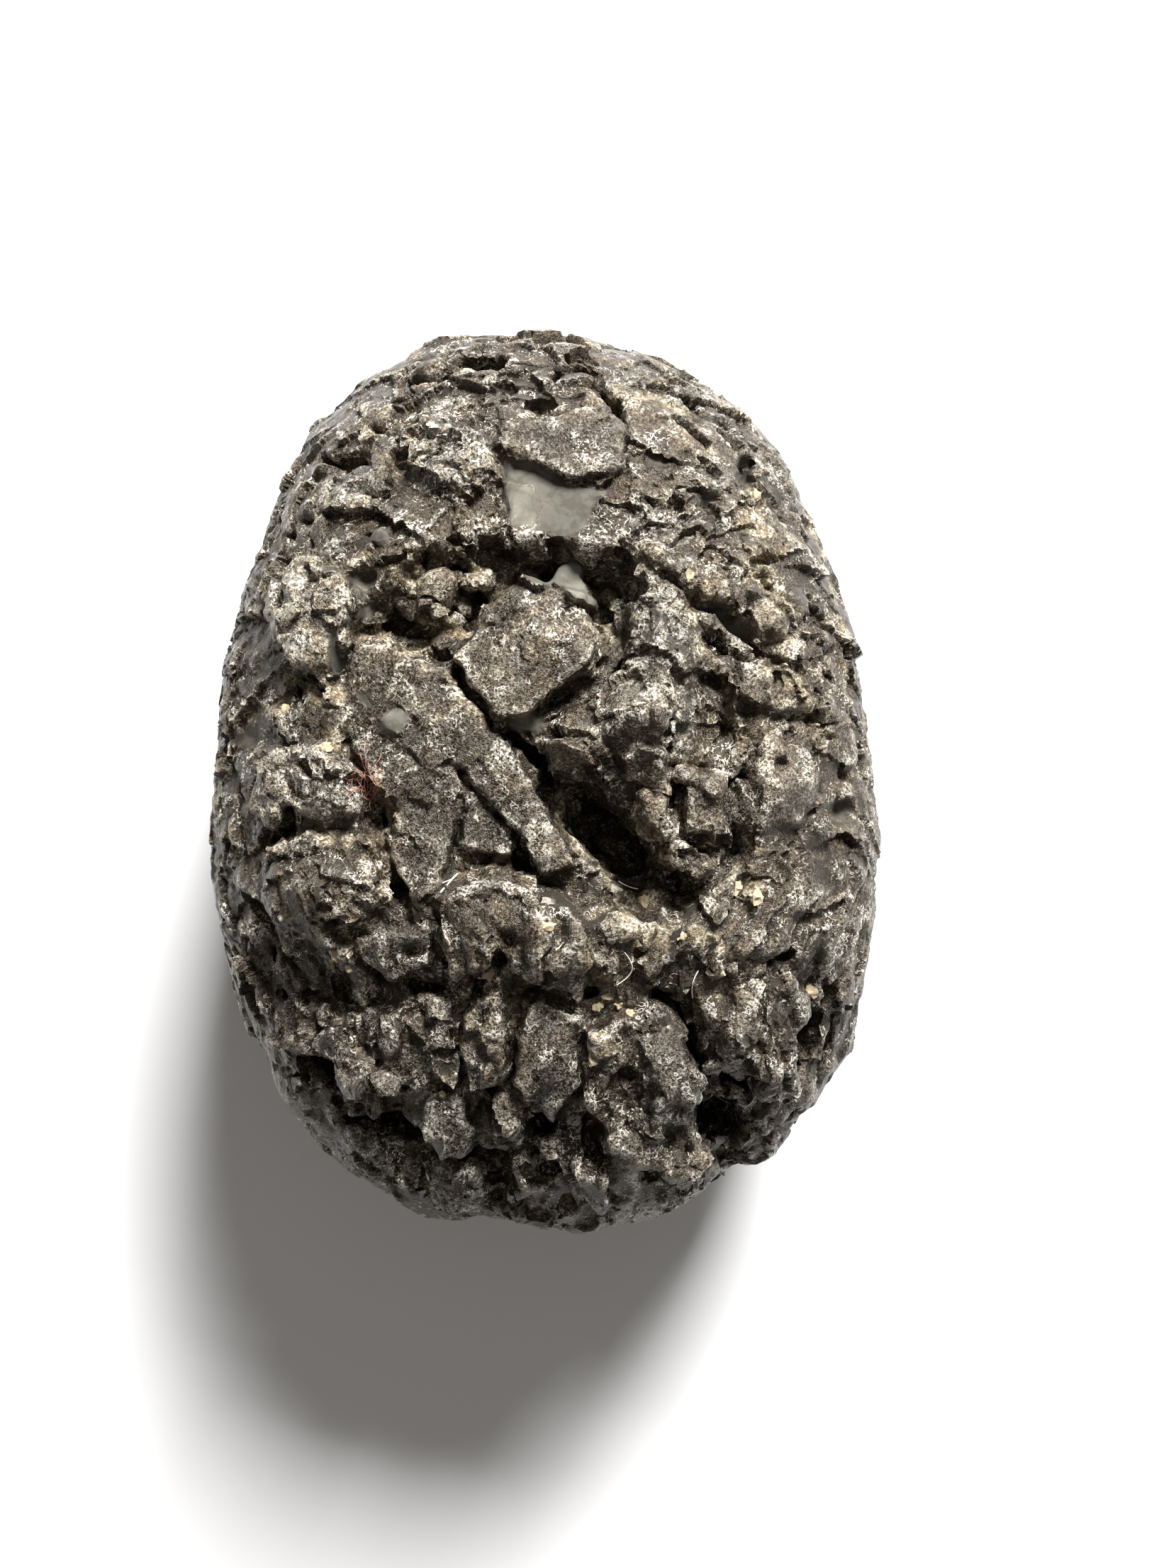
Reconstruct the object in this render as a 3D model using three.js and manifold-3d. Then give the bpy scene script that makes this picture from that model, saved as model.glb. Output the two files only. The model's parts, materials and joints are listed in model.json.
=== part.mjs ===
// A raw obsidian nodule: one solid stone, lying on the small flat spot of its back.
// Millimetres, +Z up. X is its width, Y its length, and the origin is on the ground below its middle.
import * as THREE from "three";
import { mergeVertices } from "three/addons/utils/BufferGeometryUtils.js";
import Module from "manifold-3d";

const wasm = await Module();
wasm.setup();

// ---------------------------------------------------------------- driving dimensions

const THICKNESS = 24.0; // from the flat spot to the smooth crown, before lumps and hollows
const GIRDLE_HEIGHT = 11.4; // height of the widest section above the flat spot
const FLAT_SPOT_CUT = 0.28; // how far the flat spot is worn into the back
const FLAT_SPOT_REACH = 6.5; // the fracture relief of the back fades out this near its middle
const SECTION_POWER = 2.4; // 2 is an ellipse from the side, more is boxier
const OUTLINE_CENTRE_Y = 0.2;
const STONE_COLOUR = 0x35322e;

// Reach of the girdle from its centre every 30 degrees, anticlockwise from +X.
const GIRDLE_REACH = [15.6, 16.6, 19.4, 21.1, 20.0, 16.7, 15.7, 17.2, 20.4, 21.6, 20.9, 17.5];

const MESH_DETAIL = 18; // three.js splits each icosahedron edge into this many steps, plus one
const FRONT_BIAS = 0.3; // gathers vertices on the crown, where the relief is
const LEAN_UP = 0.6; // relief is pushed along the surface normal, leant this far towards +Z
const RIM_FADE = 3.0; // named relief fades out over this height above the girdle

// Fracture facets: the stone is broken into flat and dished cells all over, large ones and small ones.
// step is the height between the lowest and the highest cell, tilt the steepest slope of a cell against
// the smooth form, dish how fast a cell sinks towards its middle.
const FACET_LAYERS = [
  { cells: 74, step: 1.0, tilt: 0.1, dish: 0.008, warp: 0.09, salt: 1 },
  { cells: 260, step: 0.8, tilt: 0.14, dish: 0.03, warp: 0.05, salt: 11 },
];
const FACET_LIMIT = 0.95; // no facet stands this far from the smooth form
const CROWN_FACET_SHARE = 0.4; // share of the facet relief left on the crown

// ---------------------------------------------------------------- named relief of the crown
// Every place is [x, y] on the crown, as seen from above.

// Slabs and blocks: lift is the step at the edge (negative is sunk), crown the extra height in the middle.
const BLOCKS = [
  { name: "basin", lift: -1.2, crown: 0, edge: 0.8, outline: [
    [-8.3, 8.8], [-6.8, 10.2], [-2.5, 10.3], [3.3, 9.9], [6.0, 8.2], [8.0, 3.0],
    [8.4, -3.0], [6.0, -5.5], [2.0, -5.5], [-2.0, -3.6], [-6.2, -4.6], [-8.4, 1.8], [-8.6, 5.5]] },
  { name: "pocket under the brow", lift: -1.1, crown: 0, edge: 0.5, outline: [
    [-8.0, 8.6], [-6.9, 9.9], [-2.0, 10.0], [3.2, 9.7], [4.2, 8.7], [3.7, 7.1], [2.3, 6.9],
    [0.6, 8.3], [-1.9, 7.9], [-3.3, 6.2], [-6.2, 6.0], [-7.6, 6.8]] },
  { name: "middle dome", lift: 0.5, crown: 0.8, edge: 0.5, outline: [
    [-3.6, 5.2], [-1.8, 7.9], [-0.5, 8.5], [1.0, 8.0], [2.2, 6.8], [2.3, 5.2], [0.9, 3.7],
    [-0.8, 2.5], [-1.6, 2.6], [-2.8, 3.9]] },
  { name: "long plate", lift: 0.4, crown: 0, edge: 0.5, outline: [
    [-8.0, 6.1], [-6.0, 5.7], [-4.2, 5.2], [-2.3, 2.9], [-0.6, 0.6], [1.7, -3.4], [0.3, -3.9],
    [-3.4, -1.5], [-4.2, -4.2], [-6.0, -4.4], [-7.3, 0.4], [-8.6, 2.6]] },
  { name: "ridge", lift: 1.6, crown: 1.2, edge: 0.6, outline: [
    [4.2, 9.0], [6.0, 7.8], [7.0, 5.5], [8.2, 4.0], [8.3, 1.0], [7.5, -1.0], [8.0, -2.8],
    [6.5, -4.2], [4.6, -2.4], [3.0, -1.0], [0.3, 0.9], [1.4, 3.2], [3.6, 4.6], [3.9, 7.0]] },
  { name: "brow slab", lift: 0.5, crown: 0, edge: 0.4, outline: [
    [-2.0, 14.6], [0.5, 15.6], [3.2, 15.9], [3.6, 15.2], [3.5, 13.1], [1.3, 12.6], [-0.5, 13.6]] },
  { name: "north-west block", lift: 0.7, crown: 0.2, edge: 0.5, outline: [
    [-5.9, 15.0], [-4.2, 15.4], [-2.3, 14.9], [-2.0, 12.4], [-3.4, 12.4], [-5.9, 13.2]] },
  { name: "west boss", lift: 0.8, crown: 0.7, edge: 0.7, outline: [
    [-11.6, 9.3], [-10.2, 9.8], [-8.8, 9.2], [-8.0, 8.0], [-8.0, 6.4], [-8.6, 5.0], [-10.4, 5.0],
    [-11.5, 6.3], [-11.9, 7.8]] },
  { name: "splintered block", lift: 0.8, crown: 0.4, edge: 0.5, outline: [
    [-12.1, 1.4], [-9.2, 1.6], [-8.0, 0.8], [-7.3, 0.0], [-7.5, -1.3], [-9.2, -1.6], [-10.4, -0.8],
    [-11.4, -1.8], [-12.3, -1.0]] },
  { name: "south-west dome", lift: 0.8, crown: 1.0, edge: 0.6, outline: [
    [-11.0, -2.8], [-9.6, -2.1], [-8.0, -2.5], [-6.7, -3.4], [-6.4, -4.6], [-7.2, -6.0],
    [-9.2, -6.8], [-10.8, -6.4], [-11.6, -5.2], [-11.8, -3.8]] },
  { name: "lower mass", lift: 0.5, crown: 0.5, edge: 0.5, outline: [
    [-4.2, -4.6], [-2.2, -3.8], [0.2, -4.2], [1.9, -5.2], [2.1, -7.6], [1.7, -9.2], [0.0, -8.4],
    [-1.4, -7.0], [-3.6, -8.2], [-4.2, -6.4]] },
  { name: "lower slab", lift: 0.8, crown: 0.3, edge: 0.5, outline: [
    [-0.1, -8.8], [1.7, -9.6], [1.6, -12.4], [1.1, -13.4], [0.5, -14.6], [-0.3, -13.3],
    [-1.2, -12.6], [-1.0, -10.6]] },
  { name: "lower slab, west half", lift: 0.6, crown: 0.2, edge: 0.5, outline: [
    [-3.0, -9.2], [-1.6, -8.6], [-1.3, -10.0], [-1.7, -12.6], [-3.1, -12.0], [-3.4, -10.4]] },
  { name: "big lobe", lift: 1.0, crown: 1.0, edge: 0.7, outline: [
    [1.9, -10.2], [3.2, -9.7], [5.2, -9.4], [6.1, -11.4], [6.9, -12.8], [6.4, -14.6], [7.4, -17.4],
    [5.8, -19.4], [2.8, -19.6], [1.2, -16.6], [2.2, -14.4], [1.8, -12.6]] },
  { name: "east dome", lift: 0.5, crown: 0.5, edge: 0.6, outline: [
    [8.3, 0.2], [9.6, 1.7], [11.2, 1.7], [12.0, 0.4], [11.6, -0.8], [10.8, -1.9], [8.8, -1.7]] },
  { name: "east lobe", lift: 0.7, crown: 0.6, edge: 0.6, outline: [
    [8.2, -8.8], [10.6, -8.2], [11.6, -9.4], [10.9, -11.4], [11.2, -13.2], [10.2, -14.0],
    [8.8, -13.2], [7.8, -11.0]] },
  { name: "south-west block", lift: 0.7, crown: 0.3, edge: 0.5, outline: [
    [-8.7, -9.8], [-6.4, -9.6], [-4.6, -10.4], [-4.4, -12.4], [-5.6, -13.6], [-8.6, -12.6],
    [-9.6, -11.0]] },
  { name: "tan wedge", lift: 0.4, crown: 0, edge: 0.4, outline: [
    [-4.4, -12.6], [-3.2, -12.2], [-2.6, -13.2], [-1.9, -15.3], [-4.2, -15.4], [-4.7, -14.0]] },
  { name: "end block", lift: 0.5, crown: 0.4, edge: 0.5, outline: [
    [-6.2, -16.6], [-4.0, -16.5], [-2.6, -17.0], [-2.8, -18.8], [-5.0, -19.4], [-6.6, -18.0]] },
];

// Hollows: radii are along and across an axis turned anticlockwise from +X.
const HOLLOWS = [
  { name: "cave", at: [2.8, -1.9], radii: [3.2, 1.6], turn: -46, depth: 4.2 },
  { name: "cave mouth, upper", at: [0.3, 1.2], radii: [1.1, 0.6], turn: -70, depth: 1.6 },
  { name: "pocket below the left brow", at: [-3.1, 7.8], radii: [1.2, 0.8], turn: -30, depth: 1.0 },
  { name: "glass cup", at: [7.2, 6.3], radii: [1.5, 0.9], turn: -60, depth: 2.0 },
  { name: "north shelf", at: [-5.2, 17.9], radii: [1.5, 0.7], turn: 8, depth: 1.2 },
  { name: "north pit", at: [-2.7, 18.5], radii: [1.2, 0.7], turn: 0, depth: 1.5 },
  { name: "north-west slot", at: [-8.7, 14.1], radii: [1.5, 0.7], turn: -8, depth: 1.3 },
  { name: "north-east cup", at: [8.9, 13.8], radii: [0.8, 1.1], turn: 0, depth: 1.3 },
  { name: "east pit", at: [11.6, 2.1], radii: [0.9, 0.6], turn: -30, depth: 1.0 },
  { name: "east cup", at: [13.2, -1.3], radii: [0.9, 1.1], turn: 0, depth: 0.9 },
  { name: "west hole", at: [-10.9, -1.7], radii: [1.1, 0.6], turn: 60, depth: 1.9 },
  { name: "lint pocket", at: [-6.6, -1.3], radii: [1.0, 0.7], turn: -70, depth: 1.0 },
  { name: "shade beside the dome", at: [-6.0, -4.6], radii: [1.3, 0.7], turn: -60, depth: 1.6 },
  { name: "south-west bite", at: [-4.6, -8.6], radii: [0.9, 0.6], turn: 0, depth: 1.4 },
  { name: "middle pit", at: [-1.7, -7.2], radii: [0.6, 0.7], turn: 0, depth: 1.3 },
  { name: "east overhang", at: [9.5, -7.4], radii: [1.7, 0.6], turn: -4, depth: 1.1 },
  { name: "east hole", at: [11.8, -11.8], radii: [1.9, 0.9], turn: 75, depth: 3.2 },
  { name: "south-east well", at: [8.1, -15.4], radii: [1.7, 1.3], turn: -50, depth: 2.7 },
  { name: "south-east shade", at: [8.7, -12.6], radii: [1.0, 0.8], turn: -40, depth: 1.4 },
  { name: "south-west cave", at: [-5.6, -15.3], radii: [2.6, 0.8], turn: -14, depth: 2.4 },
  { name: "south cave", at: [0.0, -14.8], radii: [1.2, 1.0], turn: -30, depth: 2.6 },
  { name: "south slot", at: [2.2, -15.4], radii: [1.3, 0.6], turn: 90, depth: 1.8 },
  { name: "small south cave", at: [-2.1, -13.0], radii: [0.7, 0.5], turn: 0, depth: 1.4 },
  { name: "end recess", at: [-2.0, -17.6], radii: [1.0, 1.4], turn: 0, depth: 1.3 },
  { name: "end notch", at: [8.7, -17.6], radii: [0.8, 1.2], turn: 40, depth: 1.1 },
  { name: "west slot", at: [-9.4, -12.3], radii: [1.1, 0.6], turn: -10, depth: 1.0 },
];

// Cracks and crevices: a wedge cut along a line, of this width at the surface.
const CRACKS = [
  { name: "long crack", width: 0.5, depth: 1.6, line: [
    [-4.5, 2.0], [-3.2, 0.3], [-1.7, -1.4], [-1.0, -2.3], [-0.7, -3.2], [0.0, -4.0]] },
  { name: "side crack", width: 0.35, depth: 1.0, line: [
    [-3.2, 0.2], [-3.5, -0.9], [-3.5, -2.0], [-4.3, -4.3]] },
  { name: "dome crevice", width: 0.7, depth: 1.8, line: [
    [-3.8, 5.4], [-3.2, 4.2], [-1.9, 2.6], [-0.5, 1.5], [0.1, 0.5]] },
  { name: "ridge crevice", width: 0.7, depth: 1.6, line: [
    [4.0, 6.4], [3.6, 4.8], [2.9, 3.7], [1.6, 2.9]] },
  { name: "brow crack", width: 0.6, depth: 1.8, line: [
    [1.3, 18.2], [2.3, 17.5], [3.3, 16.1], [3.7, 15.0], [3.6, 13.2], [2.6, 12.9]] },
  { name: "facet edge crack", width: 0.5, depth: 1.1, line: [
    [-1.9, 14.0], [-1.6, 13.2], [-1.6, 11.8], [-1.5, 11.0]] },
  { name: "lower crevice", width: 0.6, depth: 1.6, line: [
    [0.3, -8.0], [-0.4, -8.8], [-0.7, -9.9], [-1.3, -11.6], [-1.2, -12.8]] },
  { name: "lower crevice, west", width: 0.6, depth: 1.5, line: [
    [-1.8, -7.6], [-2.6, -8.5], [-3.2, -9.8], [-3.4, -11.0]] },
  { name: "west seam", width: 0.4, depth: 1.0, line: [
    [-4.0, -4.4], [-4.2, -5.6], [-3.9, -7.4], [-4.2, -8.6]] },
  { name: "lobe crevice", width: 1.3, depth: 2.8, line: [
    [4.7, -8.7], [5.9, -9.6], [6.6, -11.0], [7.2, -12.8], [7.0, -14.2], [7.9, -16.4]] },
];

// Knobs and scoops of the flanks and the back. Bearing and tilt are degrees from the middle of the
// girdle: anticlockwise from +X, and up from the ground plane. Height is negative for a scoop.
const FLANK_RELIEF = [
  { name: "east scoop", bearing: 12, tilt: -22, reach: 4.2, height: -1.3 },
  { name: "east knob", bearing: -18, tilt: -12, reach: 2.6, height: 0.5 },
  { name: "north-east scoop", bearing: 52, tilt: -12, reach: 3.6, height: -1.0 },
  { name: "north-east knob", bearing: 70, tilt: -38, reach: 3.0, height: 0.8 },
  { name: "north scoop", bearing: 96, tilt: -20, reach: 3.8, height: -1.1 },
  { name: "north-west knob", bearing: 122, tilt: -14, reach: 2.8, height: 0.8 },
  { name: "north-west scoop", bearing: 146, tilt: -34, reach: 4.0, height: -1.2 },
  { name: "west scoop", bearing: 172, tilt: -10, reach: 3.0, height: -0.9 },
  { name: "west knob", bearing: 190, tilt: -30, reach: 3.0, height: 0.8 },
  { name: "south-west scoop", bearing: 216, tilt: -20, reach: 4.2, height: -1.3 },
  { name: "south knob", bearing: 247, tilt: -26, reach: 3.2, height: 0.8 },
  { name: "south scoop", bearing: 270, tilt: -14, reach: 3.4, height: -1.1 },
  { name: "south-east scoop", bearing: 304, tilt: -30, reach: 4.2, height: -1.3 },
  { name: "south-east knob", bearing: 325, tilt: -12, reach: 2.6, height: 0.7 },
  { name: "back scoop, east", bearing: 20, tilt: -58, reach: 3.4, height: -1.0 },
  { name: "back scoop, west", bearing: 200, tilt: -56, reach: 3.4, height: -0.9 },
];

// ---------------------------------------------------------------- helpers

const clamp01 = (t) => Math.min(1, Math.max(0, t));
const smoothstep = (t) => clamp01(t) ** 2 * (3 - 2 * clamp01(t));

// A repeatable number from 0 to 1 for a whole number.
function scatter(index, salt) {
  const s = Math.sin(index * 12.9898 + salt * 78.233) * 43758.5453;
  return s - Math.floor(s);
}

// Smooth closed curve through evenly spaced values, read at an angle.
function girdleReach(angle) {
  const count = GIRDLE_REACH.length;
  const turn = ((angle / (2 * Math.PI)) * count + count) % count;
  const i = Math.floor(turn);
  const t = turn - i;
  const [a, b, c, d] = [-1, 0, 1, 2].map((k) => GIRDLE_REACH[(i + k + count) % count]);
  return b + 0.5 * t * (c - a + t * (2 * a - 5 * b + 4 * c - d + t * (3 * (b - c) + d - a)));
}

// Distance from p to the outline, positive inside it.
function depthInside(outline, p) {
  let nearest = Infinity;
  let inside = false;
  outline.forEach((b, i) => {
    const a = outline[(i + outline.length - 1) % outline.length];
    const [ex, ey] = [b[0] - a[0], b[1] - a[1]];
    const t = clamp01(((p[0] - a[0]) * ex + (p[1] - a[1]) * ey) / (ex * ex + ey * ey));
    nearest = Math.min(nearest, Math.hypot(p[0] - a[0] - t * ex, p[1] - a[1] - t * ey));
    if (a[1] > p[1] !== b[1] > p[1] && p[0] < a[0] + ((p[1] - a[1]) / ey) * ex) inside = !inside;
  });
  return inside ? nearest : -nearest;
}

function manifoldOf(geometry) {
  const bare = new THREE.BufferGeometry();
  bare.setAttribute("position", geometry.getAttribute("position"));
  bare.setIndex(geometry.index);
  const merged = mergeVertices(bare, 1e-4);
  return new wasm.Manifold(
    new wasm.Mesh({
      numProp: 3,
      vertProperties: merged.attributes.position.array,
      triVerts: new Uint32Array(merged.index.array),
    }),
  );
}

function geometryOf(solid) {
  const mesh = solid.getMesh();
  return new THREE.BufferGeometry()
    .setAttribute("position", new THREE.BufferAttribute(mesh.vertProperties, 3))
    .setIndex(new THREE.BufferAttribute(mesh.triVerts, 1));
}

// ---------------------------------------------------------------- the smooth form

// The point of the smooth pebble in a direction from the middle of its girdle.
function pebblePoint(direction) {
  const level = Math.hypot(direction.x, direction.y);
  const reach = girdleReach(Math.atan2(direction.y, direction.x));
  const half = direction.z > 0 ? THICKNESS - GIRDLE_HEIGHT : GIRDLE_HEIGHT + FLAT_SPOT_CUT;
  const inverse = (level / reach) ** SECTION_POWER + (Math.abs(direction.z) / half) ** SECTION_POWER;
  return direction
    .clone()
    .multiplyScalar(inverse ** (-1 / SECTION_POWER))
    .add(new THREE.Vector3(0, OUTLINE_CENTRE_Y, GIRDLE_HEIGHT));
}

// ---------------------------------------------------------------- relief

function blockRelief(block, p) {
  const inside = depthInside(block.outline, p);
  if (inside < -block.edge / 2) return 0;
  const rise = smoothstep(inside / block.edge + 0.5);
  return rise * (block.lift + block.crown * smoothstep(inside / 2.2));
}

function hollowRelief(hollow, p) {
  const turn = THREE.MathUtils.degToRad(hollow.turn);
  const [dx, dy] = [p[0] - hollow.at[0], p[1] - hollow.at[1]];
  const along = (dx * Math.cos(turn) + dy * Math.sin(turn)) / hollow.radii[0];
  const across = (dy * Math.cos(turn) - dx * Math.sin(turn)) / hollow.radii[1];
  return -hollow.depth * smoothstep((1.12 - Math.hypot(along, across)) / 0.75);
}

function crownRelief(p) {
  let height = 0;
  for (const block of BLOCKS) height += blockRelief(block, p);
  for (const hollow of HOLLOWS) height += hollowRelief(hollow, p);
  return height;
}

// Centres of the fracture cells of a layer, spread evenly over the sphere of directions.
function facetCells(layer) {
  return Array.from({ length: layer.cells }, (_, i) => {
    const z = 1 - (2 * i + 1) / layer.cells;
    const turn = i * Math.PI * (3 - Math.sqrt(5)) + layer.salt;
    const level = Math.sqrt(1 - z * z);
    const centre = new THREE.Vector3(level * Math.cos(turn), level * Math.sin(turn), z);
    const [a, b, c, d] = [0, 1, 2, 3].map((k) => scatter(i, layer.salt + k) - 0.5);
    return {
      centre,
      middle: pebblePoint(centre),
      lift: a * layer.step,
      tilt: new THREE.Vector3(b, c, d).multiplyScalar(2 * layer.tilt),
    };
  });
}

const LAYERS = FACET_LAYERS.map((layer) => ({ ...layer, list: facetCells(layer) }));

// Height of the fracture cells that a direction falls in, one of each layer.
function facetRelief(direction, point) {
  let height = 0;
  for (const layer of LAYERS) {
    const warped = direction.clone();
    warped.x += layer.warp * Math.sin(9 * direction.y + 4 * direction.z);
    warped.y += layer.warp * Math.sin(11 * direction.z + 5 * direction.x);
    warped.z += layer.warp * Math.sin(10 * direction.x + 6 * direction.y);
    warped.normalize();
    let best = layer.list[0];
    for (const cell of layer.list) {
      if (warped.dot(cell.centre) > warped.dot(best.centre)) best = cell;
    }
    const offset = point.clone().sub(best.middle);
    height += best.lift + offset.dot(best.tilt) + layer.dish * (offset.lengthSq() - 6);
  }
  return FACET_LIMIT * Math.tanh(height / FACET_LIMIT);
}

const FLANKS = FLANK_RELIEF.map((lump) => {
  const [bearing, tilt] = [lump.bearing, lump.tilt].map(THREE.MathUtils.degToRad);
  const level = Math.cos(tilt);
  const direction = new THREE.Vector3(level * Math.cos(bearing), level * Math.sin(bearing), Math.sin(tilt));
  return { ...lump, middle: pebblePoint(direction) };
});

// Knobs and scoops near a point of the smooth form.
function flankRelief(point) {
  let height = 0;
  for (const lump of FLANKS) {
    const share = smoothstep(1.3 * (1 - point.distanceTo(lump.middle) / lump.reach));
    height += lump.height * share;
  }
  return height;
}

// ---------------------------------------------------------------- the stone

function reliefMesh() {
  const ball = new THREE.IcosahedronGeometry(1, MESH_DETAIL);
  ball.deleteAttribute("normal");
  ball.deleteAttribute("uv");
  const geometry = mergeVertices(ball, 1e-5);
  const place = geometry.getAttribute("position");
  const directions = [];
  for (let i = 0; i < place.count; i++) {
    const direction = new THREE.Vector3().fromBufferAttribute(place, i);
    direction.z += FRONT_BIAS;
    directions.push(direction.normalize());
    const point = pebblePoint(direction);
    place.setXYZ(i, point.x, point.y, point.z);
  }
  geometry.computeVertexNormals();
  const normals = geometry.getAttribute("normal").clone();
  const up = new THREE.Vector3(0, 0, 1);
  for (let i = 0; i < place.count; i++) {
    const point = new THREE.Vector3().fromBufferAttribute(place, i);
    const normal = new THREE.Vector3().fromBufferAttribute(normals, i);
    const crownShare = smoothstep((point.z - GIRDLE_HEIGHT) / RIM_FADE);
    const worn = directions[i].z < 0 ? Math.hypot(point.x, point.y) / FLAT_SPOT_REACH : 1;
    const facetShare = smoothstep(worn) * (1 - crownShare * (1 - CROWN_FACET_SHARE));
    const facets = facetShare * facetRelief(directions[i], point);
    const height = facets + flankRelief(point) + crownShare * crownRelief([point.x, point.y]);
    const push = normal.addScaledVector(up, LEAN_UP * crownShare).normalize();
    point.addScaledVector(push, height);
    place.setXYZ(i, point.x, point.y, point.z);
  }
  geometry.deleteAttribute("normal");
  return geometry;
}

// Height of the finished surface above a place, from the relief mesh.
function surfaceFinder(geometry) {
  const probe = new THREE.Mesh(geometry, new THREE.MeshBasicMaterial());
  const caster = new THREE.Raycaster();
  const down = new THREE.Vector3(0, 0, -1);
  return (p) => {
    caster.set(new THREE.Vector3(p[0], p[1], 2 * THICKNESS), down);
    return caster.intersectObject(probe)[0].point.z;
  };
}

// A closed wedge along a line: open side above the surface, edge sunk into it, both ends drawn thin.
function crackWedge(crack, surfaceAt) {
  const clear = 2.5; // how far the wedge stands above the surface
  const last = crack.line.length - 1;
  const corners = [];
  crack.line.forEach((p, i) => {
    const a = crack.line[Math.max(0, i - 1)];
    const b = crack.line[Math.min(last, i + 1)];
    const length = Math.hypot(b[0] - a[0], b[1] - a[1]);
    const side = [-(b[1] - a[1]) / length, (b[0] - a[0]) / length];
    const share = i === 0 || i === last ? 0.35 : 1;
    const spread = share * (crack.width / 2) * (1 + clear / crack.depth);
    const surface = surfaceAt(p);
    corners.push(p[0] + side[0] * spread, p[1] + side[1] * spread, surface + clear);
    corners.push(p[0] - side[0] * spread, p[1] - side[1] * spread, surface + clear);
    corners.push(p[0], p[1], surface - share * crack.depth);
  });
  const faces = [0, 2, 1, 3 * last, 3 * last + 1, 3 * last + 2];
  for (let i = 0; i < last; i++) {
    for (const [u, v] of [[0, 1], [1, 2], [2, 0]]) {
      const [a, b, c, d] = [3 * i + u, 3 * i + v, 3 * i + 3 + u, 3 * i + 3 + v];
      faces.push(a, b, c, b, d, c);
    }
  }
  const geometry = new THREE.BufferGeometry()
    .setAttribute("position", new THREE.BufferAttribute(new Float32Array(corners), 3))
    .setIndex(new THREE.BufferAttribute(new Uint32Array(faces), 1));
  return manifoldOf(geometry);
}

// Everything below the flat spot.
function ground() {
  const block = new THREE.BoxGeometry(80, 80, 20);
  block.deleteAttribute("normal");
  block.deleteAttribute("uv");
  block.translate(0, 0, -10);
  return manifoldOf(block);
}

function nodule() {
  const relief = reliefMesh();
  const surfaceAt = surfaceFinder(relief);
  let stone = manifoldOf(relief).subtract(ground());
  for (const crack of CRACKS) stone = stone.subtract(crackWedge(crack, surfaceAt));
  const obsidian = new THREE.MeshStandardMaterial({
    color: STONE_COLOUR,
    roughness: 0.6,
    metalness: 0,
    flatShading: true,
  });
  const mesh = new THREE.Mesh(geometryOf(stone), obsidian);
  mesh.name = "obsidian_nodule";
  return mesh;
}

const part = new THREE.Group();
part.add(nodule());

export default part;
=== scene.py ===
"""A raw obsidian nodule lying on a pale table: its broken face, its loose dirt, and a soft studio."""

import functools
import itertools
import json
import logging
import math
from dataclasses import dataclass, field
from enum import Enum

import bpy
import numpy as np
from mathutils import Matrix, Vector

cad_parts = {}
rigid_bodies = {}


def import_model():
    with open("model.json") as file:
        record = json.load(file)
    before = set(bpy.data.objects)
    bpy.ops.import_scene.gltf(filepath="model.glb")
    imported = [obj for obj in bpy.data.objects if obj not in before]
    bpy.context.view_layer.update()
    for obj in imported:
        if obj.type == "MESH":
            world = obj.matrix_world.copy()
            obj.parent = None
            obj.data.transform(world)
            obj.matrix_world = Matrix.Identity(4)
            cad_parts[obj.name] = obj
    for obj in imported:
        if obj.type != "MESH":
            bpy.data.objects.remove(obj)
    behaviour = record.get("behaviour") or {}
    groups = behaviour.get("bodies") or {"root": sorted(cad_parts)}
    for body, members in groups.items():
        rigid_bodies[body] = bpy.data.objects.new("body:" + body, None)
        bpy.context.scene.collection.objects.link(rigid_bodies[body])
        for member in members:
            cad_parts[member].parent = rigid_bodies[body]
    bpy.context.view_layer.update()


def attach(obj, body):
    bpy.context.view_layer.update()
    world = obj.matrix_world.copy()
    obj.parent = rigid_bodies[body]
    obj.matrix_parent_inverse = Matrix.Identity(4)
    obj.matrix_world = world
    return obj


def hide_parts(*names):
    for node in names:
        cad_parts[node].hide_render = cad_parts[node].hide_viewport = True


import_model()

log = logging.getLogger("nodule")

MM = 0.001  # in metres
LEDGES = (0.15, -0.55, 0.0)  # the broken plates climb towards the stone's lower end, and drop off there
CELL_FACTORS = (73856093, 19349663, 83492791)  # one per axis, so that neighbouring cells differ
MIXING = ((16, 0x7FEB352D), (15, 0x846CA68B))  # shift and factor of each round
SPREADING = (2654435761, 747796405)  # factors that send neighbouring whole numbers far apart
WORD = 0xFFFFFFFF  # the lowest 32 bits
FAR = 1e9  # farther than any distance met here
LOWER_END = -4.0  # the stone's lower end begins below this Y
Point = tuple[float, float]
Colour = tuple[float, float, float]
Wave = tuple[float, float, int]  # how far it shifts and how long it is, in millimetres, and its salt
Value = float | bpy.types.NodeSocket


# ---------------------------------------------------------------- patterns in space


def lattice_hash(cell: np.ndarray, salt: int) -> np.ndarray:
    """Mixes whole-number cells into repeatable 32-bit numbers.

    Args:
        cell: Whole-number coordinates, one row of three per point.
        salt: Picks one of many independent patterns.

    Returns:
        One unsigned number per row.
    """
    whole = cell.astype(np.int64)
    mixed = np.full(len(whole), salt * SPREADING[0] + 97, np.int64)
    for axis, factor in enumerate(CELL_FACTORS):
        mixed ^= whole[:, axis] * factor
    mixed = (mixed & WORD).astype(np.uint64)
    for shift, factor in MIXING:
        mixed = ((mixed ^ (mixed >> np.uint64(shift))) * np.uint64(factor)) & np.uint64(WORD)
    return (mixed ^ (mixed >> np.uint64(16))).astype(np.uint32)


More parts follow.
